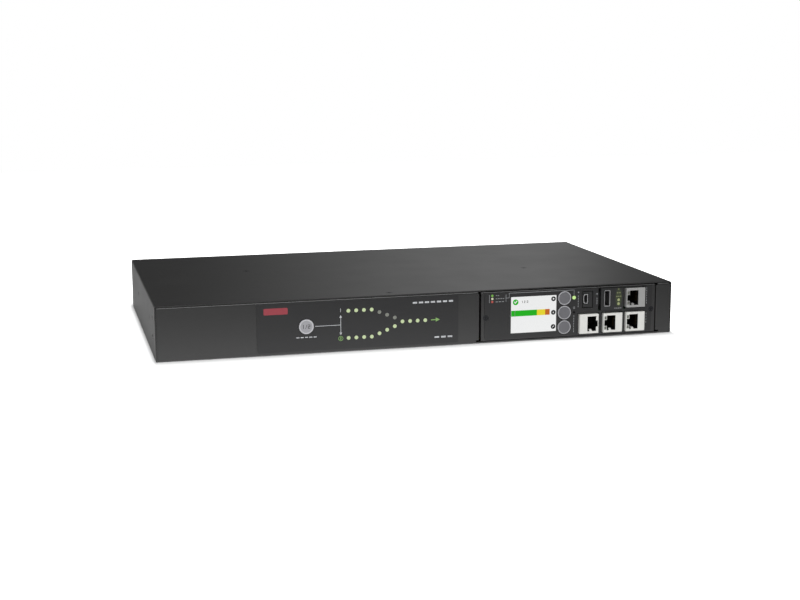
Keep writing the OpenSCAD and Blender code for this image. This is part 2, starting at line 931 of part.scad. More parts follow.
// Ends along X of a jack's opening.
function jack_inner(at, latch) =
  let (x0 = fx(at[0]) + (latch < 0 ? jack_w - jack_margin - jack_open[0] : jack_margin + 0.7))
    [x0, x0 + jack_open[0]];

// A jack turned on its side: the opening, and the notch for the plug's latch.
module jack_opening(at, latch, y0, y1) {
  inner = jack_inner(at, latch);
  mid_z = jack_mid_z(at);
  notch = latch < 0 ? [inner[0] - jack_latch[0], inner[0] + 0.1] : [inner[1] - 0.1, inner[1] + 1.5];
  block(inner, [y0, y1], [mid_z - jack_open[1] / 2, mid_z + jack_open[1] / 2]);
  block(notch, [y0, y1 - 2], [mid_z - jack_latch[1] / 2, mid_z + jack_latch[1] / 2]);
}

module jack_shield(at, latch) {
  face = front - jack_proud;
  x = [fx(at[0]), fx(at[0]) + jack_w];
  z = [at[1], at[1] + jack_h];
  difference() {
    block(x, [face, face + jack_depth], z);
    block([x[0] + jack_skin, x[1] - jack_skin], [face + jack_skin, face + jack_depth + 1],
          [z[0] + jack_skin, z[1] - jack_skin]);
    jack_opening(at, latch, face - 1, face + 4);
    if (latch < 0)
      jack_window_pair(at, face - 1, face + 1);
  }
}

module jack_insulator(at, latch) {
  face = front - jack_proud;
  difference() {
    block([fx(at[0]) + jack_skin, fx(at[0]) + jack_w - jack_skin],
          [face + jack_skin, face + jack_depth - 0.3],
          [at[1] + jack_skin, at[1] + jack_h - jack_skin]);
    jack_opening(at, latch, face, face + jack_cavity);
  }
}

// The two small light windows beside the latch notch.
module jack_window_pair(at, y0, y1) {
  size = [1.8, 2.6];
  x1 = jack_inner(at, -1)[0] - 0.3;
  for (side = [-1, 1]) {
    mid_z = jack_mid_z(at) + side * (jack_latch[1] / 2 + 0.4 + size[1] / 2);
    block([x1 - size[0], x1], [y0, y1], [mid_z - size[1] / 2, mid_z + size[1] / 2]);
  }
}

module network_jack() {
  color("#a9aaab")
    network_at()
      jack_shield($at, $latch);
}

module sensor_jacks() {
  color("#dededb")
    sensor_at()
      jack_shield($at, $latch);
}

module console_jack() {
  color("#e6e6e2")
    console_at()
      jack_shield($at, $latch);
}

// Eight sloping wires in each jack, on the side away from the latch.
module jack_contacts() {
  color("#d8b24a")
    every_jack() {
      inner = jack_inner($at, $latch);
      for (i = [0 : 7])
        translate([$latch < 0 ? inner[1] : inner[0], front - jack_proud, jack_mid_z($at) - 3.77 + i * 1.02])
          mirror([$latch < 0 ? 0 : 1, 0, 0])
            linear_extrude(0.4)
              polygon([[0, 4.6], [0, 5.8], [-1.45, 13.4], [-1.75, 13.4], [-0.3, 5.4], [-0.3, 4.6]]);
    }
}

module jack_windows() {
  face = front - jack_proud;
  color("#55564f") {
    network_at()
      jack_window_pair($at, face + 0.1, face + jack_skin);
    sensor_at()
      jack_window_pair($at, face + 0.1, face + jack_skin);
  }
}

module module_board() {
  back = front + module_depth + 2;
  clear = small_board_y + board_t + 0.6;
  color("#1f5a38")
    translate([0, 0, module_board_z])
      linear_extrude(board_t)
        polygon([
          [fx(269), clear], [fx(348.8), clear], [fx(348.8), panel_back + 0.4], [fx(407), panel_back + 0.4],
          [fx(407), back], [fx(269), back]
        ]);
}

// ---- Inside ----

module main_board() {
  module_end = front + module_depth + 15;
  color("#1f5a38")
    difference() {
      translate([0, 0, main_board_z])
        linear_extrude(board_t)
          polygon([
            [-206, front + 12], [fx(slot_u[0]) - 6, front + 12], [fx(slot_u[0]) - 6, module_end], [206, module_end],
            [206, rear - 40], [-206, rear - 40]
          ]);
      top_hole(top_screws[1], 4.4, main_board_z - 1, main_board_top + 1);
    }
}

module transfer_relays() {
  color("#2a4f8a")
    for (i = [0 : 5])
      translate([-20 + i * 34, 20, main_board_top])
        cube([29, 13, 26]);
}

supply_x = [-180, -120];
supply_y = -80;

module transformer_cores() {
  color("#5c5f63")
    for (x = supply_x)
      translate([x, supply_y, main_board_top + 3])
        difference() {
          cube([36, 14, 24]);
          translate([6, -1, 6]) cube([24, 16, 12]);
        }
}

// Windings fill the window of each core and stand out of it on both faces.
module transformer_windings() {
  color("#b5672d")
    for (x = supply_x)
      translate([x, supply_y, main_board_top + 3])
        union() {
          translate([6.3, -7, 6.3]) cube([23.4, 28, 11.4]);
          for (y = [-7, 15])
            translate([6.3, y, -3]) cube([23.4, 6, 9.4]);
        }
}

module capacitors() {
  color("#2d3550")
    for (i = [0 : 3])
      translate([-60 + i * 20, -75, main_board_top])
        cylinder(h = 22, r = 6);
}

// Ring cores that the two supply conductors pass through.
module current_sensors() {
  color("#2e6b4f")
    for (x = [-150, -110])
      translate([x, 50, main_board_top + 12])
        rotate([90, 0, 0])
          rotate_extrude()
            translate([9, 0]) square([6, 10], center = true);
}

// Board-to-board headers: indicator board, module board and outlet board.
module board_headers() {
  color("#d9d4c5") {
    block([-80, -40], [small_board_y + board_t, front + 20], [main_board_top, main_board_top + 8]);
    block([60, 100], [front + module_depth - 6, front + module_depth + 24], [main_board_top, module_board_z]);
    block([-80, 80], [rear - 48, outlet_board_y - board_t], [main_board_top, main_board_top + 7]);
  }
}

// ---- Rear ----

// A mains inlet turned upright, its three pins in a row along Z.
module inlet(x) {
  depth = 26;
  color("#1c1d1f")
    translate([x, 0, rear_mid_z])
      difference() {
        union() {
          facing_front(rear - depth, rear)
            round_rect(20, 27.2, 2);
          facing_front(rear, rear + 2.4)
            round_rect(24, 31, 2.5);
        }
        facing_front(rear - 14.5, rear + 3)
          polygon([[-8.4, -12.25], [8.4, -12.25], [8.4, 12.25], [-8.4, 12.25]]);
        for (p = pin_places)
          facing_front(rear - depth - 1, rear - 14)
            translate(p) square([4, 2], center = true);
      }
}

module inlet_1() {
  inlet(inlet_x[0]);
}

module inlet_2() {
  inlet(inlet_x[1]);
}

module inlet_pins() {
  color("#c8a45a")
    for (x = inlet_x)
      for (i = [0 : len(pin_places) - 1])
        translate([x, 0, rear_mid_z])
          facing_front(rear - pin_tails[i], rear - 1)
            translate(pin_places[i]) square([4, 2], center = true);
}

// Brass strips that join the pins' tails and the breakers to the main board.
module power_links() {
  tab = 1.2;
  color("#c8a45a") {
    for (x = inlet_x)
      for (i = [0 : len(pin_places) - 1])
        block([x + pin_places[i][0] - 1.9, x + pin_places[i][0] + 1.9],
              [rear - pin_tails[i], rear - pin_tails[i] + tab],
              [main_board_top, rear_mid_z + pin_places[i][1] - 1]);
    for (x = breaker_x)
      for (side = [-1, 1]) {
        at = x + side * 3.5;
        z = breaker_z + side * 7;
        block([at - 2.5, at + 2.5], [rear - 44, rear - breaker_depth], [z, z + tab]);
        block([at - 2.5, at + 2.5], [rear - 44, rear - 44 + tab], [main_board_top, z + tab]);
      }
  }
}

// A shrouded outlet: the plug's skirt enters the ring around the centre block.
module outlet_ring() {
  difference() {
    shroud(20.6, 28.4, 4.5);
    shroud(16, 24, 3.6);
  }
}

module shroud(w, h, cut) {
  polygon([
    [-w / 2, -h / 2], [w / 2 - cut, -h / 2], [w / 2, cut - h / 2],
    [w / 2, h / 2 - cut], [w / 2 - cut, h / 2], [-w / 2, h / 2]
  ]);
}

module every_outlet() {
  for (block_x = outlet_block_x)
    for (i = [0 : outlets_in_block - 1])
      translate([block_x + (i - (outlets_in_block - 1) / 2) * outlet_pitch, 0, rear_mid_z])
        children();
}

module outlet_blocks() {
  color("#1c1d1f")
    difference() {
      for (x = outlet_block_x)
        translate([x, 0, rear_mid_z]) {
          facing_front(outlet_board_y, rear)
            square([outlet_block_w - 3, 30], center = true);
          facing_front(rear, rear + 2.4)
            round_rect(outlet_block_w, 34, 1.5);
        }
      every_outlet() {
        facing_front(rear - 15, rear + 3)
          outlet_ring();
        for (p = pin_places)
          facing_front(outlet_board_y - 1, rear + 3)
            translate(p) square([4.6, 2.6], center = true);
      }
    }
}

module outlet_contacts() {
  color("#c8a45a")
    every_outlet()
      for (p = pin_places)
        facing_front(outlet_board_y, rear - 12)
          translate([p[0], p[1] + 0.9]) square([3.6, 0.6], center = true);
}

module outlet_board() {
  low = outlet_block_x[2] - outlet_block_w / 2;
  high = outlet_block_x[0] + outlet_block_w / 2;
  color("#1f5a38")
    facing_front(outlet_board_y - board_t, outlet_board_y)
      translate([low, 5]) square([high - low, 34]);
}

module breakers() {
  color("#232427")
    for (x = breaker_x)
      difference() {
        union() {
          block([x - 7, x + 7], [rear - breaker_depth, rear - sheet], [breaker_z - 14, breaker_z + 14]);
          translate([x, rear - sheet - 1, breaker_z])
            rotate([-90, 0, 0]) cylinder(h = sheet + 8, r = 4.7);
        }
        translate([x, rear - reset_guide - 2, breaker_z])
          rotate([-90, 0, 0]) cylinder(h = 40, r = reset_r + running);
      }
}

module breaker_nuts() {
  color("#b9bcc0")
    for (x = breaker_x)
      translate([x, rear, breaker_z])
        rotate([-90, 0, 0])
          difference() {
            cylinder(h = 2.4, r = 7.4, $fn = 6);
            translate([0, 0, -1]) cylinder(h = 5, r = 4.75);
          }
}

module reset_button(x) {
  color("#e8e8e4")
    translate([x, rear - reset_guide, breaker_z])
      rotate([-90, 0, 0]) cylinder(h = reset_guide + 8.5, r = reset_r);
}

module reset_button_1() {
  reset_button(breaker_x[0]);
}

module reset_button_2() {
  reset_button(breaker_x[1]);
}

module earth_screw() {
  color("#b9bcc0")
    translate([earth_at[0], rear, earth_at[1]])
      rotate([-90, 0, 0])
        difference() {
          union() {
            translate([0, 0, -7]) cylinder(h = 7.1, r = 2);
            cylinder(h = 0.8, r = 5);
            translate([0, 0, 0.8]) cylinder(h = 2.4, r = 3.9);
          }
          for (turn = [0, 90])
            rotate([0, 0, turn])
              translate([-2.2, -0.4, 2]) cube([4.4, 0.8, 2]);
        }
}

base_tray();
top_cover();
cover_screws();
cover_posts();
module_brackets();
board_standoffs();
front_overlay();
front_print();
red_bar();
lit_marks();
preference_button();
preference_switch();
indicator_board();
lit_lights();
dark_lights();
module_tray();
module_overlay();
module_screws();
display_panel();
screen_green();
screen_yellow();
screen_orange();
screen_symbols();
upper_key();
middle_key();
lower_key();
recessed_button();
display_board();
display_switches();
status_light();
port_bezels();
port_lights();
usb_a_shell();
mini_usb_shell();
port_insulators();
network_jack();
sensor_jacks();
console_jack();
jack_contacts();
jack_windows();
module_board();
main_board();
transfer_relays();
transformer_cores();
transformer_windings();
capacitors();
current_sensors();
board_headers();
inlet_1();
inlet_2();
inlet_pins();
power_links();
outlet_blocks();
outlet_contacts();
outlet_board();
breakers();
breaker_nuts();
reset_button_1();
reset_button_2();
earth_screw();
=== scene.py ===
"""Dresses the rack transfer switch: finishes, small bent and printed pieces, studio and camera.

Lengths are in millimetres until mm() turns them into metres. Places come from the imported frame.
"""

from __future__ import annotations

import logging
import math
from dataclasses import dataclass, field
from enum import Enum
from typing import Any, Union

import bmesh
import bpy
from mathutils import Matrix, Vector

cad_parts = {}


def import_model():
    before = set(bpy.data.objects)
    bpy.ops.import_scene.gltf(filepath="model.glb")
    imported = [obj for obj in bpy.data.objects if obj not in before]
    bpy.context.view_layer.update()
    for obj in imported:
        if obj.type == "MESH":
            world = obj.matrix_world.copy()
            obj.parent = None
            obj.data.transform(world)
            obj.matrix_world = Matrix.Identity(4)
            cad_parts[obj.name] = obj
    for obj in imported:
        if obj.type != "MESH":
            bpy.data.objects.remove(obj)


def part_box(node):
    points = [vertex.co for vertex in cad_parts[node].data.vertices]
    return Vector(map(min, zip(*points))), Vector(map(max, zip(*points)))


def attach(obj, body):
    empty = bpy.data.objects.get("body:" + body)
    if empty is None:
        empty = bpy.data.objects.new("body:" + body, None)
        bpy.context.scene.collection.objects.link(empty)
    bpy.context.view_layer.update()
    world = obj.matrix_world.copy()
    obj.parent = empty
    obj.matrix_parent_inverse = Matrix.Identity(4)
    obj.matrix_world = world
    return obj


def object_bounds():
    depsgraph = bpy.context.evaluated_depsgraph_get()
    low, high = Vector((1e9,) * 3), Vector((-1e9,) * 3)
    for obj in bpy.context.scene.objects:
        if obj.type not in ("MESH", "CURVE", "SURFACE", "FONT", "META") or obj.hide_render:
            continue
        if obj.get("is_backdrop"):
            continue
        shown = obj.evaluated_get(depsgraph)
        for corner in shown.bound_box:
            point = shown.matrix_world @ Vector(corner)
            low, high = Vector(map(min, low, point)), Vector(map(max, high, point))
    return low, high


log = logging.getLogger("transfer_switch")

Socket = bpy.types.NodeSocket
Value = Union[float, tuple, Socket]
Colour = tuple[float, float, float, float]

BRUSH_STRETCH = 0.04  # scale of brush marks along X, which makes them 25 times longer than wide
CLOUD_MM = 35.0  # size of the slow drift in a finish's colour and gloss
GLOW_CLOUD_MM = 0.8  # size of the clouding in a lit moulding
GLOW_RANGE = (0.9, 1.06)  # how far that clouding dims and lifts the glow
PRINT_EDGE_MM = 0.1  # half the width over which a printed or masked edge changes
INK_STEP_MM = 0.04  # how far below a cap's sunk middle its ink starts
WELD_MM = 0.002  # points closer than this count as one
SHARP_DEGREES = 40.0  # edges that turn more than this get deburred
FILM_DOT_MM = 0.06  # thickness of a dot printed on the film

# ---- Small tools ----


def mm(value: float) -> float:
    """Turns millimetres into metres."""
    return value * 0.001


def linear(hex_colour: str) -> Colour:
    """Turns an sRGB hex colour into linear light.

    Args:
        hex_colour: Six hex digits after a hash.

    Returns:
        Red, green, blue and an alpha of 1.
    """
    parts = [int(hex_colour[i : i + 2], 16) / 255 for i in (1, 3, 5)]
    light = [c / 12.92 if c <= 0.04045 else ((c + 0.055) / 1.055) ** 2.4 for c in parts]
    return (light[0], light[1], light[2], 1.0)


def scaled(colour: Colour, factor: float) -> Colour:
    """Makes a linear colour darker or lighter by a factor."""
    return (colour[0] * factor, colour[1] * factor, colour[2] * factor, 1.0)


def add_node(
    tree: bpy.types.NodeTree,
    kind: str,
    inputs: dict[Any, Value] | None = None,
    **settings: Any,
) -> bpy.types.Node:
    """Adds one node with its settings, values and links.

    Args:
        tree: The tree that the node goes into.
        kind: Blender's name of the node type.
        inputs: Socket name or number, to a value or to the output it is linked from.
        **settings: Properties of the node.

    Returns:
        The new node.
    """
    node = tree.nodes.new(kind)
    for name, value in settings.items():
        setattr(node, name, value)
    for key, value in (inputs or {}).items():
        if isinstance(value, Socket):
            tree.links.new(value, node.inputs[key])
        else:
            node.inputs[key].default_value = value
    return node


def middle(node: str) -> Vector:
    """Gives the middle of a CAD node's box, in metres."""
    low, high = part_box(node)
    return (low + high) / 2


def ramp(tree: bpy.types.NodeTree, value: Value, span: tuple, ends: tuple, **settings: Any) -> Socket:
    """Carries a value from one span over to another.

    Args:
        tree: The tree.
        value: The value.
        span: Where it starts and ends.
        ends: What it becomes there. It stays so beyond them, unless clamp is False.
        **settings: Properties of the node.

    Returns:
        The output that carries the result.
    """
    limits = {"From Min": span[0], "From Max": span[1], "To Min": ends[0], "To Max": ends[1]}
    return add_node(tree, "ShaderNodeMapRange", {"Value": value, **limits}, **settings).outputs[0]


def math_of(tree: bpy.types.NodeTree, how: str, first: Value, second: Value) -> Socket:
    """Joins two values by Blender's operation of that name."""
    return add_node(tree, "ShaderNodeMath", {0: first, 1: second}, operation=how).outputs[0]


def blended(tree: bpy.types.NodeTree, share: Socket, first: Value, second: Value) -> Socket:
    """Blends two colours, from all of the first at 0 to all of the second at 1."""
    values = {"Factor": share, "A": first, "B": second}
    return add_node(tree, "ShaderNodeMix", values, data_type="RGBA").outputs["Result"]


def faded(tree: bpy.types.NodeTree, colour: Socket, along: Socket, span: tuple, share: float) -> Socket:
    """Darkens a colour along one axis.

    Args:
        tree: The material's tree.
        colour: The colour.
        along: Place along that axis, in metres.
        span: Where it starts to darken and where it is darkest, in metres.
        share: Share of its brightness that is left there.

    Returns:
        The output that carries the darkened colour.
    """
    level = ramp(tree, along, span, (1.0, share))
    return add_node(tree, "ShaderNodeVectorMath", {0: colour, "Scale": level}, operation="SCALE").outputs[0]


def axis_of(tree: bpy.types.NodeTree, place: Socket, axis: str) -> Socket:
    """Gives one of a place's coordinates."""
    return add_node(tree, "ShaderNodeSeparateXYZ", {"Vector": place}).outputs[axis]


# ---- Finishes ----


class GrainKind(Enum):
    """How a surface came by its fine texture."""

    PEEL = "sprayed or powdered paint that flowed a little before it set"
    SPARK = "moulded against a spark-eroded steel tool"
    BRUSHED = "rolled or brushed one way"
    SPANGLE = "plated, with crystals of slightly different gloss"


@dataclass(frozen=True)
class Grain:
    """Fine texture of a surface.

    Attributes:
        kind: How it was made.
        size_mm: Size of one grain.
        depth_mm: Height of the relief.
        tone: How far the colour varies, as a share of itself.
        gloss: How far the roughness varies.
    """

    kind: GrainKind
    size_mm: float
    depth_mm: float
    tone: float
    gloss: float

    def height(self, tree: bpy.types.NodeTree, place: Socket) -> Socket:
        """Draws the relief.

        Args:
            tree: The material's tree.
            place: Object coordinates in metres.

        Returns:
            The output that carries the height, 0 to 1.
        """
        spots = {"Vector": place, "Scale": 1 / mm(self.size_mm)}
        if self.kind is GrainKind.SPARK:
            cells = add_node(tree, "ShaderNodeTexVoronoi", spots, feature="SMOOTH_F1")
            return cells.outputs["Distance"]
        if self.kind is GrainKind.SPANGLE:
            cells = add_node(tree, "ShaderNodeTexVoronoi", spots, feature="F1")
            split = add_node(tree, "ShaderNodeSeparateColor", {"Color": cells.outputs["Color"]})
            return split.outputs[0]
        if self.kind is GrainKind.BRUSHED:
            stretch = {"Vector": place, "Scale": (BRUSH_STRETCH, 1.0, 1.0)}
            spots["Vector"] = add_node(tree, "ShaderNodeMapping", stretch).outputs[0]
        noise = add_node(tree, "ShaderNodeTexNoise", {**spots, "Detail": 3.0, "Roughness": 0.6})
        return noise.outputs[0]


@dataclass(frozen=True)
class Finish:
    """One real material and how its surface was made.

    Attributes:
        name: The maker's name for it.
        colour: sRGB hex.
        roughness: Micro-roughness of the surface.
        grain: Its fine texture.
        metallic: 1 for bare metal.
        specular: Strength of the clear reflection.
        slot: The record's material slot; not used.
    """

    name: str
    colour: str
    roughness: float
    grain: Grain
    metallic: float = 0.0
    specular: float = 0.5
    slot: str = ""

    def material(self) -> bpy.types.Material:
        """Makes the material once and gives it again after that.

        Returns:
            The Blender material.
        """
        known = bpy.data.materials.get(self.name)
        if known:
            return known
        made = bpy.data.materials.new(self.name)
        made.use_nodes = True
        tree = made.node_tree
        tree.nodes.clear()
        shader = add_node(
            tree,
            "ShaderNodeBsdfPrincipled",
            {
                "Base Color": linear(self.colour),
                "Roughness": self.roughness,
                "Metallic": self.metallic,
                "Specular IOR Level": self.specular,
            },
        )
        add_node(tree, "ShaderNodeOutputMaterial", {"Surface": shader.outputs[0]})
        place = add_node(tree, "ShaderNodeTexCoord").outputs["Object"]
        self.texture(tree, shader, place)
        return made

    def texture(self, tree: bpy.types.NodeTree, shader: bpy.types.Node, place: Socket) -> None:
        """Lays the grain into relief, colour and gloss.

        Args:
            tree: The material's tree.
            shader: Its principled shader.
            place: Object coordinates in metres.
        """
        height = self.grain.height(tree, place)
        relief = {"Height": height, "Strength": 1.0, "Distance": mm(self.grain.depth_mm)}
        bump = add_node(tree, "ShaderNodeBump", relief)
        tree.links.new(bump.outputs[0], shader.inputs["Normal"])
        drift = {"Vector": place, "Scale": 1 / mm(CLOUD_MM), "Detail": 2.0}
        cloud = add_node(tree, "ShaderNodeTexNoise", drift)
        share = math_of(tree, "MULTIPLY", height, cloud.outputs[0])
        darker = scaled(linear(self.colour), 1 - self.grain.tone)
        lighter = scaled(linear(self.colour), 1 + 2 * self.grain.tone)
        self.paint(tree, shader, place, blended(tree, share, darker, lighter))
        limits = (self.roughness - self.grain.gloss, self.roughness + self.grain.gloss)
        tree.links.new(ramp(tree, cloud.outputs[0], (0.0, 1.0), limits), shader.inputs["Roughness"])

    def paint(self, tree: bpy.types.NodeTree, shader: bpy.types.Node, place: Socket, tone: Socket) -> None:
        """Sends the varied colour to the shader."""
        tree.links.new(tone, shader.inputs["Base Color"])


@dataclass(frozen=True)
class LitFinish(Finish):
    """A translucent moulding or film with a lamp behind it.

    Attributes:
        strength: How brightly it glows.
        glow: sRGB hex of the light that comes through.
        dim_above_mm: Height over which less light comes through, if any.
        dim_to: Share of the light that is left up there.
    """

    strength: float = 1.0
    glow: str = "#ffffff"
    dim_above_mm: float | None = None
    dim_to: float = 1.0

    def paint(self, tree: bpy.types.NodeTree, shader: bpy.types.Node, place: Socket, tone: Socket) -> None:
        """Sends the colour to the surface and a slightly clouded glow through it."""
        if self.dim_above_mm is not None:
            tone = self.dimmed(tree, place, tone)
        tree.links.new(tone, shader.inputs["Base Color"])
        clouding = {"Vector": place, "Scale": 1 / mm(GLOW_CLOUD_MM), "Detail": 1.0}
        noise = add_node(tree, "ShaderNodeTexNoise", clouding)
        lit = linear(self.glow)
        light = blended(tree, noise.outputs[0], *(scaled(lit, share) for share in GLOW_RANGE))
        if self.dim_above_mm is not None:
            light = self.dimmed(tree, place, light)
        tree.links.new(light, shader.inputs["Emission Color"])
        shader.inputs["Emission Strength"].default_value = self.strength

    def dimmed(self, tree: bpy.types.NodeTree, place: Socket, colour: Socket) -> Socket:
        """Darkens a colour above the height.

        Args:
            tree: The material's tree.
            place: Object coordinates in metres.
            colour: The colour.

        Returns:
            The output that carries the darkened colour.
        """
        low = mm(self.dim_above_mm - PRINT_EDGE_MM)
        high = mm(self.dim_above_mm + PRINT_EDGE_MM)
        return faded(tree, colour, axis_of(tree, place, "Z"), (low, high), self.dim_to)


@dataclass(frozen=True)
class ThinnedInk(Finish):
    """Ink that is printed thinner beyond a place along the front.

    Attributes:
        beyond_mm: Where the thin printing starts, along X.
        cover: Share of the ink's brightness that is left there.
    """

    beyond_mm: float = 0.0
    cover: float = 1.0

    def paint(self, tree: bpy.types.NodeTree, shader: bpy.types.Node, place: Socket, tone: Socket) -> None:
        """Darkens the ink beyond that place."""
        left = mm(self.beyond_mm - PRINT_EDGE_MM)
        right = mm(self.beyond_mm + PRINT_EDGE_MM)
        thin = faded(tree, tone, axis_of(tree, place, "X"), (left, right), self.cover)
        tree.links.new(thin, shader.inputs["Base Color"])


@dataclass(frozen=True)
class PaintedShadeFinish(Finish):
    """Plating with painted shade: its colour is darkened deeper in behind a cut edge at the front.

    Attributes:
        edge: Where the cut edge lies along Y, in metres.
        unshaded_mm: How far behind the edge the painted shade starts.
        fade_mm: How much further in the painted shade is full.
        painted_shade_share: Share of its brightness that the painted shade leaves there.
    """

    edge: float = 0.0
    unshaded_mm: float = 0.15
    fade_mm: float = 0.25
    painted_shade_share: float = 0.12

    def paint(self, tree: bpy.types.NodeTree, shader: bpy.types.Node, place: Socket, tone: Socket) -> None:
        """Paints shade into the plating, darker with its depth behind the edge."""
        start = self.edge + mm(self.unshaded_mm)
        end = self.edge + mm(self.unshaded_mm + self.fade_mm)
        shaded_tone = faded(tree, tone, axis_of(tree, place, "Y"), (start, end), self.painted_shade_share)
        tree.links.new(shaded_tone, shader.inputs["Base Color"])


@dataclass(frozen=True)
class SpillFinish(Finish):
    """A moulding with a painted glow round its lamps, standing in for light that leaks through it.

    Attributes:
        centre_mm: Middle of the leak, along X and Z.
        reach_mm: How far it reaches along X and Z.
        core: Share of that reach within which it is full.
        spill: sRGB hex of the painted glow.
    """

    centre_mm: tuple[float, float] = (0.0, 0.0)
    reach_mm: tuple[float, float] = (1.0, 1.0)
    core: float = 0.55
    spill: str = "#000000"

    def paint(self, tree: bpy.types.NodeTree, shader: bpy.types.Node, place: Socket, tone: Socket) -> None:
        """Adds the painted glow, which fades from its middle to nothing."""
        tree.links.new(tone, shader.inputs["Base Color"])
        middle_at = (mm(self.centre_mm[0]), 0.0, mm(self.centre_mm[1]))
        off = add_node(tree, "ShaderNodeVectorMath", {0: place, 1: middle_at}, operation="SUBTRACT")
        share = (1 / mm(self.reach_mm[0]), 0.0, 1 / mm(self.reach_mm[1]))
        part = add_node(tree, "ShaderNodeVectorMath", {0: off.outputs[0], 1: share}, operation="MULTIPLY")
        away = add_node(tree, "ShaderNodeVectorMath", {0: part.outputs[0]}, operation="LENGTH")
        distance, span = away.outputs["Value"], (self.core, 1.0)
        fade = ramp(tree, distance, span, (1.0, 0.0), interpolation_type="SMOOTHSTEP")
        shader.inputs["Emission Color"].default_value = linear(self.spill)
        tree.links.new(fade, shader.inputs["Emission Strength"])


@dataclass(frozen=True)
class RimmedFinish(Finish):
    """A pressed cap whose raised rim is lighter than its middle.

    Attributes:
        centre: Middle of the cap, in metres.
        rim_mm: Radius where the rim starts.
        blend_mm: Half the width over which its colour comes in.
        rim: sRGB hex of the rim.
        floor_mm: Depth of the cap's sunk middle; anything deeper is filled with ink.
        ink: sRGB hex of the ink.
    """

    centre: tuple[float, float, float] = (0.0, 0.0, 0.0)
    rim_mm: float = 5.0
    blend_mm: float = 0.12
    rim: str = "#ffffff"
    floor_mm: float | None = None
    ink: str = "#000000"

    def paint(self, tree: bpy.types.NodeTree, shader: bpy.types.Node, place: Socket, tone: Socket) -> None:
        """Mixes the rim's colour in beyond its radius, measured across the face."""
        flat = add_node(tree, "ShaderNodeVectorMath", {0: place, 1: (1.0, 0.0, 1.0)}, operation="MULTIPLY")
        axle = (self.centre[0], 0.0, self.centre[2])
        away = add_node(tree, "ShaderNodeVectorMath", {0: flat.outputs[0], 1: axle}, operation="DISTANCE")
        span = (mm(self.rim_mm - self.blend_mm), mm(self.rim_mm + self.blend_mm))
        edge = ramp(tree, away.outputs["Value"], span, (0.0, 1.0), interpolation_type="SMOOTHSTEP")
        middle_tone = tone if self.floor_mm is None else self.inked(tree, place, tone)
        tree.links.new(blended(tree, edge, middle_tone, linear(self.rim)), shader.inputs["Base Color"])

    def inked(self, tree: bpy.types.NodeTree, place: Socket, tone: Socket) -> Socket:
        """Gives the numerals that are sunk below the cap's middle their ink.

        Args:
            tree: The material's tree.
            place: Object coordinates in metres.
            tone: The cap's colour.

        Returns:
            The output that carries the cap's colour or the ink's.
        """
        floor = mm(self.floor_mm + INK_STEP_MM)
        sunk = math_of(tree, "GREATER_THAN", axis_of(tree, place, "Y"), floor)
        return blended(tree, sunk, tone, linear(self.ink))


# Powder coat is baked polyester on steel: satin, with a fine orange peel that breaks up highlights.
POWDER_GRAIN = Grain(GrainKind.PEEL, 0.7, 0.006, 0.05, 0.03)
POWDER_COAT = Finish("satin_black_powder_coat", "#1e1e1e", 0.34, POWDER_GRAIN)
# Legend film is reverse-printed polycarbonate: smoother and a little darker than the paint.
FILM_GRAIN = Grain(GrainKind.PEEL, 0.25, 0.002, 0.03, 0.02)
LEGEND_FILM = Finish("velvet_polycarbonate_film", "#1b1b1c", 0.4, FILM_GRAIN, specular=0.4)
# Screen ink dries flat and matt, so it never shines.
INK_GRAIN = Grain(GrainKind.PEEL, 0.2, 0.001, 0.05, 0.03)
GREY_INK = ThinnedInk("grey_screen_ink", "#b4b6b9", 0.7, INK_GRAIN, beyond_mm=54, cover=0.5)
RED_INK = Finish("red_screen_ink", "#88303a", 0.65, INK_GRAIN)
# Light pipes are clear acrylic with a frosted end: lit, the end glows evenly.
FROST = Grain(GrainKind.PEEL, 0.3, 0.001, 0.04, 0.03)
GREEN_LIGHT = LitFinish("frosted_acrylic_lit_green", "#65755a", 0.35, FROST, glow="#a6b088", strength=1.0)
GREEN_MARK = LitFinish("green_window_ink", "#5c7a48", 0.5, FROST, glow="#86b45a", strength=0.35)
STATUS_GREEN = LitFinish(
    "frosted_acrylic_status_green", "#5f7a4a", 0.35, FROST, glow="#c0e08c", strength=0.85
)
# Unlit, the same frosted end is a dull grey.
DARK_LIGHT = Finish("frosted_acrylic_unlit", "#74766f", 0.4, FROST)
# The port lights are yellow-green, and those over the middle of the port are weaker.
PORT_GREEN = LitFinish(
    "frosted_acrylic_yellow_green",
    "#5e6242",
    0.35,
    FROST,
    glow="#8c9468",
    strength=0.8,
    dim_above_mm=32.4,
    dim_to=0.5,
)
# The dots that explain the status light are ink; the green one has a painted glow.
DOT_GREEN = LitFinish(
    "green_dot_ink_painted_glow", "#5a8a34", 0.5, FROST, slot="green_light", glow="#6fae3c", strength=0.35
)
DOT_PALE = Finish("pale_dot_ink", "#c8c8a8", 0.6, FROST, slot="white_ink")
DOT_RED = Finish("red_dot_ink", "#a8443c", 0.6, FROST, slot="red_ink")
# Black mouldings are glass-filled nylon from a spark-eroded tool: a dull, even sheen.
NYLON_GRAIN = Grain(GrainKind.SPARK, 0.35, 0.008, 0.08, 0.04)
BLACK_NYLON = Finish("spark_grained_black_nylon", "#1a1b1d", 0.5, NYLON_GRAIN)
# The plastic deep in the ports is black liquid-crystal polymer. It is made darker and duller than black
# plastic as painted shade deep in the ports.
SOCKET_GRAIN = Grain(GrainKind.SPARK, 0.3, 0.004, 0.05, 0.03)
SOCKET_BLACK = Finish("black_lcp_painted_shade", "#060607", 0.6, SOCKET_GRAIN, specular=0.2)
# The ports' housing is smoother black plastic, with a painted glow round the port lights that stands in for
# their light.
PORT_BLACK = SpillFinish(
    "satin_black_abs_painted_glow",
    "#131415",
    0.4,
    Grain(GrainKind.SPARK, 0.25, 0.003, 0.05, 0.03),
    centre_mm=(167.3, 32.5),
    reach_mm=(3.6, 9.5),
    spill="#262e10",
)
# Caps are moulded in a fine spark texture that takes the shine off them.
CAP_GRAIN = Grain(GrainKind.SPARK, 0.3, 0.002, 0.03, 0.03)
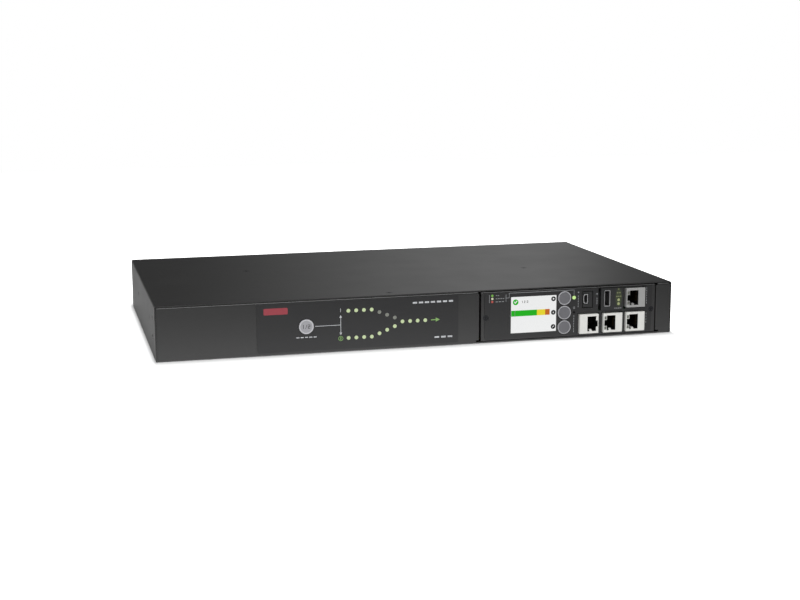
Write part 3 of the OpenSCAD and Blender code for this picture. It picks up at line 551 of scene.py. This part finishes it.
# Tin plate on the jacks' shields is pale and softly bright, with a faint crystal pattern.
TIN_GRAIN = Grain(GrainKind.SPANGLE, 0.5, 0.0005, 0.03, 0.05)
TIN_PLATE = Finish("satin_tin_plate", "#d3d3cf", 0.4, TIN_GRAIN, slot="jack_white")
# The network jack's shield is bare nickel silver, greyer than the tin beside it.
GREY_SHIELD = Finish("satin_nickel_silver", "#939392", 0.4, TIN_GRAIN, slot="jack_grey")
# Nickel on the USB shells is smoother than tin. Behind the cut edge its colour is darkened as painted shade
# inside the shell.
NICKEL_GRAIN = Grain(GrainKind.BRUSHED, 0.2, 0.0004, 0.03, 0.05)
# Zinc on the nuts, posts and earth screw is a cool, slightly blotchy grey; blackened, it is sooty.
ZINC_GRAIN = Grain(GrainKind.SPANGLE, 0.4, 0.001, 0.06, 0.06)
ZINC = Finish("clear_zinc_plate", "#b7babd", 0.34, ZINC_GRAIN, metallic=1.0)
SOOT_GRAIN = Grain(GrainKind.SPANGLE, 0.3, 0.001, 0.08, 0.06)
BLACK_ZINC = Finish("black_zinc_plate", "#202124", 0.38, SOOT_GRAIN, metallic=0.6)
# Brass keeps its rolling marks, which draw its highlights out.
BRASS_GRAIN = Grain(GrainKind.BRUSHED, 0.15, 0.0008, 0.06, 0.06)
BRASS = Finish("rolled_brass", "#c8a45a", 0.3, BRASS_GRAIN, metallic=1.0)
# The jacks' gold-flashed wires are coloured dark brown, darker than gold, as painted shade deep in the
# jacks.
WIRE_GRAIN = Grain(GrainKind.BRUSHED, 0.1, 0.0003, 0.04, 0.04)
GOLD_FLASH = Finish("gold_wire_painted_shade", "#6f5c34", 0.4, WIRE_GRAIN, metallic=1.0)
# The jacks' small lights are off: smoked windows, warm and dark.
SMOKED_WINDOW = Finish("smoked_light_window", "#56574f", 0.3, Grain(GrainKind.PEEL, 0.3, 0.001, 0.05, 0.03))
# Solder mask is a thin green lacquer over copper tracks.
SOLDER_MASK = Finish("green_solder_mask", "#1d5a38", 0.35, Grain(GrainKind.BRUSHED, 0.9, 0.01, 0.25, 0.05))
# Relay covers are a hard blue polyester with a low sheen.
RELAY_CASE = Finish("blue_moulded_pbt", "#2a4f8a", 0.4, Grain(GrainKind.SPARK, 0.3, 0.003, 0.05, 0.03))
# Stacked laminations show their edges under a dip of varnish.
LAMINATED = Grain(GrainKind.BRUSHED, 0.5, 0.02, 0.15, 0.06)
CORE_STEEL = Finish("varnished_laminations", "#5c5f63", 0.45, LAMINATED, metallic=0.8)
# Winding tape is glossy amber film, wrapped in turns.
TAPE_GRAIN = Grain(GrainKind.BRUSHED, 0.6, 0.01, 0.12, 0.05)
WINDING_TAPE = Finish("amber_polyimide_tape", "#b5672d", 0.3, TAPE_GRAIN)
# Capacitor sleeves are shrunk on, glossy and slightly rippled.
CAN_SLEEVE = Finish("shrunk_pvc_sleeve", "#2d3550", 0.28, Grain(GrainKind.PEEL, 0.8, 0.002, 0.05, 0.03))
# Sensor rings wear a thick, lumpy epoxy.
RING_COAT = Finish("epoxy_coated_ferrite", "#2e6b4f", 0.45, Grain(GrainKind.PEEL, 0.6, 0.01, 0.08, 0.04))
# Headers are undyed nylon, a warm off-white.
NATURAL_NYLON = Finish("natural_nylon", "#d9d4c5", 0.42, Grain(GrainKind.SPARK, 0.4, 0.003, 0.04, 0.03))
# Reset buttons are white acetal, waxy and clean.
RESET_CAP = Finish("white_acetal", "#e0e0da", 0.35, Grain(GrainKind.SPARK, 0.4, 0.002, 0.03, 0.03))
# The display is a back-lit glass panel: its light is what is seen, not its surface.
GLASS = Grain(GrainKind.PEEL, 0.25, 0.0005, 0.01, 0.01)
SCREEN_WHITE = LitFinish("lit_display_white", "#30302f", 0.3, GLASS, glow="#eceded", strength=0.935)
SCREEN_GREEN = LitFinish(
    "lit_display_green", "#041204", 0.3, GLASS, specular=0.15, glow="#16ae12", strength=0.97
)
SCREEN_YELLOW = LitFinish(
    "lit_display_yellow", "#302a08", 0.3, GLASS, specular=0.15, glow="#ead92a", strength=0.9
)
SCREEN_ORANGE = LitFinish(
    "lit_display_orange", "#30140a", 0.3, GLASS, specular=0.15, glow="#c26418", strength=0.9
)
SCREEN_BLACK = Finish("dark_display_pixels", "#0e0f10", 0.35, GLASS, specular=0.15)


# ---- Sub-assemblies ----


class SubAssembly:
    """A group of pieces that is dressed together."""

    def dress(self) -> None:
        """Gives the CAD nodes their finishes and adds the small pieces."""
        raise NotImplementedError


def finish_nodes(finish: Finish, *names: str) -> None:
    """Puts a finish on whole CAD nodes.

    Args:
        finish: What they are finished in.
        *names: The nodes.
    """
    material = finish.material()
    for name in names:
        obj = bpy.data.objects[name]
        obj.data.materials.clear()
        obj.data.materials.append(material)
        log.info("%s: %s", name, finish.name)


def soften_edges(name: str, width_mm: float, segments: int = 2) -> None:
    """Rounds a CAD node's sharp edges as deburring or moulding leaves them.

    Args:
        name: The node.
        width_mm: Width of the rounded strip.
        segments: Facets across it.
    """
    obj = bpy.data.objects[name]
    weld = obj.modifiers.new("weld", "WELD")
    weld.merge_threshold = mm(WELD_MM)
    bevel = obj.modifiers.new("deburr", "BEVEL")
    bevel.width = mm(width_mm)
    bevel.segments = segments
    bevel.limit_method = "ANGLE"
    bevel.angle_limit = math.radians(SHARP_DEGREES)
    bevel.use_clamp_overlap = True
    bevel.harden_normals = True


@dataclass
class Case(SubAssembly):
    """Folded tray and cover with their fixings.

    Attributes:
        deburr_mm: Rounding of the sheets' cut edges.
    """

    deburr_mm: float = 0.25

    def dress(self) -> None:
        """Paints the sheets and plates the fixings."""
        finish_nodes(POWDER_COAT, "base_tray", "top_cover", "module_brackets")
        finish_nodes(BLACK_ZINC, "cover_screws")
        finish_nodes(ZINC, "cover_posts")
        finish_nodes(BRASS, "board_standoffs")
        for name in ("base_tray", "top_cover"):
            soften_edges(name, self.deburr_mm)


@dataclass
class PathLegend(SubAssembly):
    """Printed film with the path lights and the preference button.

    Attributes:
        rim_mm: Radius where the button's rim starts.
        sunk_mm: Depth of the button's middle below its rim.
    """

    rim_mm: float = 4.9
    sunk_mm: float = 0.2

    def dress(self) -> None:
        """Finishes the film, its inks, the lights and the button."""
        cap_face_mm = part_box("preference_button")[0].y * 1000
        finish_nodes(LEGEND_FILM, "front_overlay")
        finish_nodes(GREY_INK, "front_print")
        finish_nodes(RED_INK, "red_bar")
        finish_nodes(GREEN_MARK, "lit_marks")
        finish_nodes(GREEN_LIGHT, "lit_lights")
        finish_nodes(DARK_LIGHT, "dark_lights")
        finish_nodes(BLACK_NYLON, "preference_switch")
        finish_nodes(SOLDER_MASK, "indicator_board")
        finish_nodes(
            RimmedFinish(
                "satin_silver_abs",
                "#949498",
                0.4,
                CAP_GRAIN,
                centre=tuple(middle("preference_button")),
                rim_mm=self.rim_mm,
                rim="#b8b8bc",
                floor_mm=cap_face_mm + self.sunk_mm,
                ink="#3a3b3e",
            ),
            "preference_button",
        )


@dataclass
class ControlModule(SubAssembly):
    """Pull-out module: faceplate, film, display, keys and status light.

    Attributes:
        key_rim_mm: Radius where a key's rim starts.
        keys: The keys' nodes.
        dot_mm: Place of the printed dots along X, and their radius.
        dots: Each dot's name, height and ink.
        dot_sides: Facets round a dot.
    """

    key_rim_mm: float = 5.0
    keys: tuple[str, ...] = ("upper_key", "middle_key", "lower_key")
    dot_mm: tuple[float, float] = (56.9, 0.95)
    dots: tuple[tuple[str, float, Finish], ...] = (
        # The green dot's ink has a painted glow.
        ("green_dot", 39.35, DOT_GREEN),
        ("pale_dot", 36.75, DOT_PALE),
        ("red_dot", 34.2, DOT_RED),
    )
    dot_sides: int = 32

    def dress(self) -> None:
        """Finishes the module's own pieces."""
        finish_nodes(POWDER_COAT, "module_tray")
        finish_nodes(LEGEND_FILM, "module_overlay")
        finish_nodes(BLACK_ZINC, "module_screws")
        finish_nodes(SOLDER_MASK, "display_board", "module_board")
        finish_nodes(BLACK_NYLON, "display_switches", "recessed_button")
        finish_nodes(STATUS_GREEN, "status_light")
        finish_nodes(SCREEN_WHITE, "display_panel")
        finish_nodes(SCREEN_GREEN, "screen_green")
        finish_nodes(SCREEN_YELLOW, "screen_yellow")
        finish_nodes(SCREEN_ORANGE, "screen_orange")
        finish_nodes(SCREEN_BLACK, "screen_symbols")
        for key in self.keys:
            finish_nodes(
                RimmedFinish(
                    f"smoked_grey_abs_{key}",
                    "#5e5e62",
                    0.42,
                    CAP_GRAIN,
                    centre=tuple(middle(key)),
                    rim_mm=self.key_rim_mm,
                    rim="#a6a6aa",
                ),
                key,
            )
        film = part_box("module_overlay")[0].y
        for name, height, ink in self.dots:
            self.dot(name, Vector((mm(self.dot_mm[0]), film, mm(height))), ink)

    def dot(self, name: str, at: Vector, ink: Finish) -> None:
        """Prints one round dot on the film.

        Args:
            name: The piece's name.
            at: Its middle, on the film's face.
            ink: What it is printed in.
        """
        mesh = bmesh.new()
        turn = Matrix.Translation(at) @ Matrix.Rotation(math.radians(90), 4, "X")
        bmesh.ops.create_cone(
            mesh,
            cap_ends=True,
            segments=self.dot_sides,
            radius1=mm(self.dot_mm[1]),
            radius2=mm(self.dot_mm[1]),
            depth=mm(FILM_DOT_MM),
            matrix=turn,
        )
        add_piece(name, mesh, ink)


class Strip:
    """Thin sheet bent along a path, built in mesh code.

    Attributes:
        path: Points (y, z) along its middle, in millimetres.
        x_mm: Where its two edges are.
        thick_mm: Its thickness.
    """

    def __init__(self, path: list[tuple[float, float]], x_mm: tuple[float, float], thick_mm: float) -> None:
        self.path = path
        self.x_mm = x_mm
        self.thick_mm = thick_mm

    def add_to(self, mesh: bmesh.types.BMesh) -> None:
        """Adds the strip's faces to a mesh.

        Args:
            mesh: The mesh that several strips share.
        """
        rings = []
        for i, (y, z) in enumerate(self.path):
            before = self.path[max(i - 1, 0)]
            after = self.path[min(i + 1, len(self.path) - 1)]
            along = Vector((after[0] - before[0], after[1] - before[1])).normalized()
            off = Vector((-along.y, along.x)) * self.thick_mm / 2
            corners = [
                (self.x_mm[0], y + off.x, z + off.y),
                (self.x_mm[1], y + off.x, z + off.y),
                (self.x_mm[1], y - off.x, z - off.y),
                (self.x_mm[0], y - off.x, z - off.y),
            ]
            rings.append([mesh.verts.new([mm(v) for v in corner]) for corner in corners])
        for near, far in zip(rings, rings[1:]):
            for k in range(4):
                mesh.faces.new((near[k], near[(k + 1) % 4], far[(k + 1) % 4], far[k]))
        mesh.faces.new(rings[0][::-1])
        mesh.faces.new(rings[-1])


def add_piece(name: str, mesh: bmesh.types.BMesh, finish: Finish) -> bpy.types.Object:
    """Turns mesh code into a piece that rides on the case.

    Args:
        name: The piece's name.
        mesh: Its faces; it is freed here.
        finish: What it is finished in.

    Returns:
        The new object.
    """
    bmesh.ops.recalc_face_normals(mesh, faces=mesh.faces)
    data = bpy.data.meshes.new(name)
    mesh.to_mesh(data)
    mesh.free()
    data.materials.append(finish.material())
    piece = bpy.data.objects.new(name, data)
    bpy.context.scene.collection.objects.link(piece)
    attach(piece, "case")
    log.info("%s: %s", name, finish.name)
    return piece


@dataclass
class Ports(SubAssembly):
    """Jacks and USB sockets of the control module.

    Attributes:
        tab_mm: Where each earthing tab starts and ends across the jack's opening.
        latch_left_mm: From the left side of a jack with its latch on the left to the opening.
        latch_right_mm: The same for a jack with its latch on the right.
        opening_mm: Height of the opening.
        lip_mm: How far behind the face and into the opening a tab's first two bends lie.
        reach_mm: How far back and how far up a lower tab goes.
        half_rise: Share of its rise that a tab has halfway back.
        tail: How much further back its end goes, in millimetres, and the share of the rise left there.
        upper_share: How far down an upper tab goes, as a share of a lower one's rise.
        thick_mm: Thickness of the shield's sheet.
    """

    tab_mm: tuple[float, float] = (2.2, 4.4)
    latch_left_mm: float = 2.8
    latch_right_mm: float = 6.7
    opening_mm: float = 12.6
    lip_mm: tuple[tuple[float, float], ...] = ((0.3, 0.05), (0.9, 0.12))
    reach_mm: tuple[float, float] = (2.6, 1.3)
    half_rise: float = 0.45
    tail: tuple[float, float] = (1.2, 0.9)
    upper_share: float = 0.4
    thick_mm: float = 0.2

    def dress(self) -> None:
        """Plates the shields and moulds the rest."""
        # The housing carries a painted glow round the port lights.
        finish_nodes(PORT_BLACK, "port_bezels")
        # The insulators are black plastic, darkened further as painted shade inside the ports.
        finish_nodes(SOCKET_BLACK, "port_insulators")
        for shell in ("usb_a_shell", "mini_usb_shell"):
            # Painted shade: each shell's colour darkens behind its front edge.
            plate = PaintedShadeFinish(
                f"satin_nickel_painted_shade_{shell}",
                "#d0d0d2",
                0.3,
                NICKEL_GRAIN,
                metallic=0.35,
                edge=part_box(shell)[0].y,
            )
            finish_nodes(plate, shell)
        finish_nodes(PORT_GREEN, "port_lights")
        finish_nodes(TIN_PLATE, "sensor_jacks", "console_jack")
        finish_nodes(GREY_SHIELD, "network_jack")
        # The wires' dark brown is painted shade.
        finish_nodes(GOLD_FLASH, "jack_contacts")
        finish_nodes(SMOKED_WINDOW, "jack_windows")
        self.earth_tabs("network_jack_tabs", GREY_SHIELD, [("network_jack", 0, self.latch_left_mm)])
        self.earth_tabs(
            "sensor_jack_tabs",
            TIN_PLATE,
            [("sensor_jacks", 0, self.latch_left_mm), ("sensor_jacks", 1, self.latch_left_mm)],
        )
        self.earth_tabs("console_jack_tabs", TIN_PLATE, [("console_jack", 0, self.latch_right_mm)])

    def earth_tabs(self, name: str, finish: Finish, jacks: list[tuple[str, int, float]]) -> None:
        """Bends the shields' earthing tabs in through their openings.

        Args:
            name: The piece's name.
            finish: The shields' finish.
            jacks: CAD node, 0 for its left jack or 1 for its right one, and the opening's place.
        """
        mesh = bmesh.new()
        for node, which, opening in jacks:
            low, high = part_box(node)
            left = (low.x if which == 0 else self.last_jack_x()) * 1000
            face, mid = low.y * 1000, (low.z + high.z) * 500
            x = (left + opening + self.tab_mm[0], left + opening + self.tab_mm[1])
            for side in (-1, 1):
                lip = mid + side * self.opening_mm / 2
                back, rise = self.reach_mm
                rise *= self.upper_share if side > 0 else 1
                bends = [
                    *self.lip_mm,
                    (back / 2, rise * self.half_rise),
                    (back, rise),
                    (back + self.tail[0], rise * self.tail[1]),
                ]
                path = [(face + deep, lip - side * inward) for deep, inward in bends]
                Strip(path, x, self.thick_mm).add_to(mesh)
        add_piece(name, mesh, finish)

    def last_jack_x(self) -> float:
        """Left side of the jack at the right end, in metres."""
        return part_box("network_jack")[0].x


@dataclass
class Interior(SubAssembly):
    """Boards and what stands on them."""

    def dress(self) -> None:
        """Finishes the boards and their parts."""
        finish_nodes(SOLDER_MASK, "main_board", "outlet_board")
        finish_nodes(RELAY_CASE, "transfer_relays")
        finish_nodes(CORE_STEEL, "transformer_cores")
        finish_nodes(WINDING_TAPE, "transformer_windings")
        finish_nodes(CAN_SLEEVE, "capacitors")
        finish_nodes(RING_COAT, "current_sensors")
        finish_nodes(NATURAL_NYLON, "board_headers")
        finish_nodes(BRASS, "power_links")


@dataclass
class RearPanel(SubAssembly):
    """Mains inlets, outlets, breakers and earth screw."""

    def dress(self) -> None:
        """Finishes the rear fittings."""
        finish_nodes(BLACK_NYLON, "inlet_1", "inlet_2", "outlet_blocks", "breakers")
        finish_nodes(BRASS, "inlet_pins", "outlet_contacts")
        finish_nodes(ZINC, "breaker_nuts", "earth_screw")
        finish_nodes(RESET_CAP, "reset_button_1", "reset_button_2")


# ---- Studio and camera ----


@dataclass(frozen=True)
class SoftBox:
    """One rectangular light that faces the case.

    Attributes:
        name: Its name.
        at_mm: Its place.
        size_mm: Its width and height.
        watts: Its power.
    """

    name: str
    at_mm: tuple[float, float, float]
    size_mm: tuple[float, float]
    watts: float

    def hang(self) -> None:
        """Makes the light and turns it to the case."""
        data = bpy.data.lights.new(self.name, "AREA")
        data.shape = "RECTANGLE"
        data.size = mm(self.size_mm[0])
        data.size_y = mm(self.size_mm[1])
        data.energy = self.watts
        lamp = bpy.data.objects.new(self.name, data)
        lamp.location = [mm(v) for v in self.at_mm]
        lamp.rotation_euler = (-lamp.location).to_track_quat("-Z", "Y").to_euler()
        bpy.context.scene.collection.objects.link(lamp)


@dataclass
class Studio:
    """White sweep with large soft lights, and a dark and a pale card behind the case.

    Only the camera sees the room white. What the case mirrors is set apart from that: the cards, the
    sky and a floor of its own brightness. The finishes were chosen under those reflections.
    Directions in the room are given as shares along an axis: 1 is straight along it, 0 across it.

    Attributes:
        floor_mm: Half the width of the floor.
        drop_mm: How far the floor lies below the case, so that the two faces don't flicker.
        sky: Strength of the even light from all round.
        front_sky: Brightness of the room in front, between the floor and the lights.
        overhead: Brightness straight above.
        dark_card: Brightness low behind the case at its left.
        pale_card: The same at its right.
        card_from: Where the pale card starts and is full, along X.
        card_to: Where it starts to fade and ends, along X.
        side_card: Brightness low behind the case far to its left, which its side mirrors.
        side_edge: Where that is full and where it ends, along X.
        behind_edge: Where the cards start and are full, along Y.
        card_top: Where the cards start to fade upwards and end, along Z.
        front_edge: Where the room in front is full and where it ends, along Y.
        front_top: The same upwards, along Z.
        overhead_edge: Where the overhead light starts and is full, along Z.
        paper: How pale the floor is to the light that it scatters.
        seen_paper: How pale it is to the camera, before any white is added.
        mirrored_paper: The same for reflections.
        gloss_behind: White that reflections see in the floor behind the case.
        gloss_before: The same at the case's foot in front, fading away from it.
        behind_mm: Over how much of the floor behind the front it falls to what is behind.
        foot_mm: How far in front of the case its foot's white fades out.
        fade_mm: How far to the right it falls to its lowest.
        right_share: What is left of it there.
        shadow_mm: How far the shadow at the case's foot reaches to the front and to the side.
        added_near: White added to the floor where that shadow ends.
        near_span: Where that starts and is full, as a share of the shadow's reach.
        added_far: White added further off, where the lamps don't reach.
        far_span: The same for it.
        boxes: The lights.
    """

    floor_mm: float = 1500
    drop_mm: float = 0.05
    sky: float = 0.25
    front_sky: float = 0.03
    overhead: float = 2.6
    dark_card: float = 0.035
    pale_card: float = 0.565
    card_from: tuple[float, float] = (0.08, 0.36)
    card_to: tuple[float, float] = (0.36, 0.398)
    side_card: float = 0.16
    side_edge: tuple[float, float] = (-0.25, -0.1)
    behind_edge: tuple[float, float] = (0.1, 0.4)
    card_top: tuple[float, float] = (0.65, 0.95)
    front_edge: tuple[float, float] = (-0.3, 0.0)
    front_top: tuple[float, float] = (0.7, 0.9)
    overhead_edge: tuple[float, float] = (0.75, 0.95)
    paper: float = 0.8
    seen_paper: float = 0.62
    mirrored_paper: float = 0.37
    gloss_behind: float = 0.02
    gloss_before: float = 1.42
    behind_mm: float = 5
    foot_mm: float = 250
    fade_mm: float = 380
    right_share: float = 0.25
    shadow_mm: tuple[float, float] = (15.0, 2.2)
    added_near: float = 0.36
    near_span: tuple[float, float] = (0.1, 1.0)
    added_far: float = 1.0
    far_span: tuple[float, float] = (1.0, 4.0)
    boxes: tuple[SoftBox, ...] = (
        SoftBox("front_left_box", (-900, -1500, 1100), (1200, 900), 26.0),
        SoftBox("overhead_box", (200, -300, 1500), (900, 600), 7.0),
    )

    def build(self) -> None:
        """Lays the floor, sets the world and hangs the lights."""
        self.floor()
        self.world()
        for box in self.boxes:
            box.hang()

    def floor(self) -> None:
        """A white floor that keeps the soft shadow under the case."""
        half = mm(self.floor_mm)
        mesh = bpy.data.meshes.new("studio_floor")
        corners = [(-half, -half, 0), (half, -half, 0), (half, half, 0), (-half, half, 0)]
        mesh.from_pydata(corners, [], [(0, 1, 2, 3)])
        floor = bpy.data.objects.new("studio_floor", mesh)
        bpy.context.scene.collection.objects.link(floor)
        floor.location.z = -mm(self.drop_mm)
        material = bpy.data.materials.new("white_sweep")
        material.use_nodes = True
        tree = material.node_tree
        tree.nodes.clear()
        rays = add_node(tree, "ShaderNodeLightPath")
        paper_tone: Value = self.paper
        for kind, tone in (("Is Camera Ray", self.seen_paper), ("Is Glossy Ray", self.mirrored_paper)):
            terms = {0: rays.outputs[kind], 1: tone - self.paper, 2: paper_tone}
            paper_tone = add_node(tree, "ShaderNodeMath", terms, operation="MULTIPLY_ADD").outputs[0]
        paper = add_node(tree, "ShaderNodeBsdfDiffuse", {"Color": paper_tone})
        lit = {"Color": (1, 1, 1, 1), "Strength": self.added_white(tree)}
        glow = add_node(tree, "ShaderNodeEmission", lit)
        both = add_node(tree, "ShaderNodeAddShader", {0: paper.outputs[0], 1: glow.outputs[0]})
        add_node(tree, "ShaderNodeOutputMaterial", {"Surface": both.outputs[0]})
        mesh.materials.append(material)
        floor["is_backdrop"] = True

    def added_white(self, tree: bpy.types.NodeTree) -> Socket:
        """Gives the white that the floor adds for each kind of ray.

        The camera sees it grow from nothing at the case's foot, so that the shadow there stays.

        Args:
            tree: The floor's tree.

        Returns:
            The output that carries the strength.
        """
        place = add_node(tree, "ShaderNodeTexCoord").outputs["Object"]
        split = add_node(tree, "ShaderNodeSeparateXYZ", {"Vector": place})
        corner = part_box("top_cover")[1]
        front_reach, side_reach = self.shadow_mm

        def outside(axis: str, half: float, reach: float) -> Socket:
            size = math_of(tree, "ABSOLUTE", split.outputs[axis], 0.0)
            past = ramp(tree, size, (half, half + mm(reach)), (0.0, 1.0), clamp=False)
            return math_of(tree, "MAXIMUM", past, 0.0)

        across = outside("X", corner.x, side_reach)
        along = outside("Y", corner.y, front_reach)
        squares = [math_of(tree, "POWER", length, 2.0) for length in (across, along)]
        away = math_of(tree, "SQRT", math_of(tree, "ADD", *squares), 0.0)
        near = ramp(tree, away, self.near_span, (0.0, self.added_near))
        far = ramp(tree, away, self.far_span, (0.0, self.added_far))
        seen = math_of(tree, "ADD", near, far)
        front = -corner.y
        foot = ramp(tree, split.outputs["Y"], (front - mm(self.foot_mm), front), (0.0, self.gloss_before))
        behind_share = self.gloss_behind / self.gloss_before
        rear = ramp(tree, split.outputs["Y"], (front, front + mm(self.behind_mm)), (1.0, behind_share))
        right = ramp(tree, split.outputs["X"], (0.0, mm(self.fade_mm)), (1.0, self.right_share))
        mirrored = math_of(tree, "MULTIPLY", math_of(tree, "MULTIPLY", foot, rear), right)
        path = add_node(tree, "ShaderNodeLightPath").outputs
        direct = math_of(tree, "MAXIMUM", path["Is Camera Ray"], path["Is Transmission Ray"])
        gloss = math_of(tree, "MULTIPLY", path["Is Glossy Ray"], mirrored)
        return math_of(tree, "MAXIMUM", math_of(tree, "MULTIPLY", direct, seen), gloss)

    def world(self) -> None:
        """White to the camera alone; light on the case and its reflections come from sky and cards."""
        world = bpy.data.worlds.new("studio_world")
        world.use_nodes = True
        tree = world.node_tree
        tree.nodes.clear()
        room = {"Color": (1, 1, 1, 1), "Strength": self.card_light(tree)}
        even = add_node(tree, "ShaderNodeBackground", room)
        white = add_node(tree, "ShaderNodeBackground", {"Color": (1, 1, 1, 1), "Strength": 1.0})
        seen = add_node(tree, "ShaderNodeLightPath").outputs["Is Camera Ray"]
        mix = add_node(tree, "ShaderNodeMixShader", {0: seen, 1: even.outputs[0], 2: white.outputs[0]})
        add_node(tree, "ShaderNodeOutputWorld", {"Surface": mix.outputs[0]})
        bpy.context.scene.world = world

    def card_light(self, tree: bpy.types.NodeTree) -> Socket:
        """Works out how bright the surroundings are in each direction.

        Args:
            tree: The world's tree.

        Returns:
            The output that carries the strength.
        """
        place = add_node(tree, "ShaderNodeTexCoord").outputs["Generated"]
        toward = add_node(tree, "ShaderNodeSeparateXYZ", {"Vector": place})

        def share(axis: str, span: tuple, ends: tuple) -> Socket:
            return ramp(tree, toward.outputs[axis], span, ends, interpolation_type="SMOOTHSTEP")

        def mixed(part: Socket, first: Value, second: Value) -> Socket:
            values = {"Factor": part, "A": first, "B": second}
            return add_node(tree, "ShaderNodeMix", values, data_type="FLOAT").outputs[0]

        starting, ending = (0.0, 1.0), (1.0, 0.0)
        rise = share("X", self.card_from, (self.dark_card, self.pale_card))
        pale = math_of(tree, "MULTIPLY", rise, share("X", self.card_to, ending))
        cards = math_of(tree, "ADD", pale, share("X", self.side_edge, (self.side_card, 0.0)))
        behind = share("Y", self.behind_edge, starting)
        there = math_of(tree, "MULTIPLY", behind, share("Z", self.card_top, ending))
        in_front = share("Y", self.front_edge, ending)
        before = math_of(tree, "MULTIPLY", in_front, share("Z", self.front_top, ending))
        room = mixed(share("Z", self.overhead_edge, starting), self.sky, self.overhead)
        return mixed(there, mixed(before, room, self.front_sky), cards)


@dataclass
class Viewpoint:
    """Camera in front, to the left and above.

    Attributes:
        aim_mm: Point that it looks at, from the middle of the front's lower edge.
        distance_mm: How far it stands from that point.
        yaw: How far it looks to the right, in degrees.
        pitch: How far it looks down, in degrees.
        roll: How far it leans, in degrees.
        lens_mm: Focal length.
        sensor_mm: Width of the sensor.
        nearest_mm: Nearest point that it sees.
    """

    aim_mm: tuple[float, float, float] = (-20.84, 0.0, 39.68)
    distance_mm: float = 1131.8
    yaw: float = 14.632
    pitch: float = 10.631
    roll: float = -0.16
    lens_mm: float = 63.48
    sensor_mm: float = 36
    nearest_mm: float = 10

    def build(self) -> None:
        """Makes the camera and points it at the case."""
        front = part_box("base_tray")[0].y
        yaw, pitch = math.radians(self.yaw), math.radians(self.pitch)
        level = Vector((math.sin(yaw), math.cos(yaw), 0))
        forward = level * math.cos(pitch) - Vector((0, 0, math.sin(pitch)))
        right = Vector((math.cos(yaw), -math.sin(yaw), 0))
        up = right.cross(forward)
        turn = Matrix((right, up, -forward)).transposed()
        lean = Matrix.Rotation(math.radians(self.roll), 3, "Z")
        data = bpy.data.cameras.new("camera")
        data.lens = self.lens_mm
        data.sensor_width = self.sensor_mm
        data.clip_start = mm(self.nearest_mm)
        camera = bpy.data.objects.new("camera", data)
        camera.matrix_world = (turn @ lean).to_4x4()
        aim = Vector([mm(v) for v in self.aim_mm]) + Vector((0, front, 0))
        camera.location = aim - forward * mm(self.distance_mm)
        bpy.context.scene.collection.objects.link(camera)
        bpy.context.scene.camera = camera


@dataclass
class SizeReport:
    """Keeps the CAD model's box."""

    cad: Any = field(default_factory=lambda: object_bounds())

    def write(self) -> None:
        """Does nothing: no box is written."""


def main() -> None:
    """Loads the frame, dresses each sub-assembly and sets the studio up."""
    logging.basicConfig(level=logging.INFO, format="%(message)s")
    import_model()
    size = SizeReport()
    bpy.context.scene.view_settings.view_transform = "Standard"
    Viewpoint().build()
    for part in (Case(), PathLegend(), ControlModule(), Ports(), Interior(), RearPanel()):
        part.dress()
        log.info("%s dressed", type(part).__name__)
    Studio().build()
    size.write()


if __name__ == "__main__":
    main()
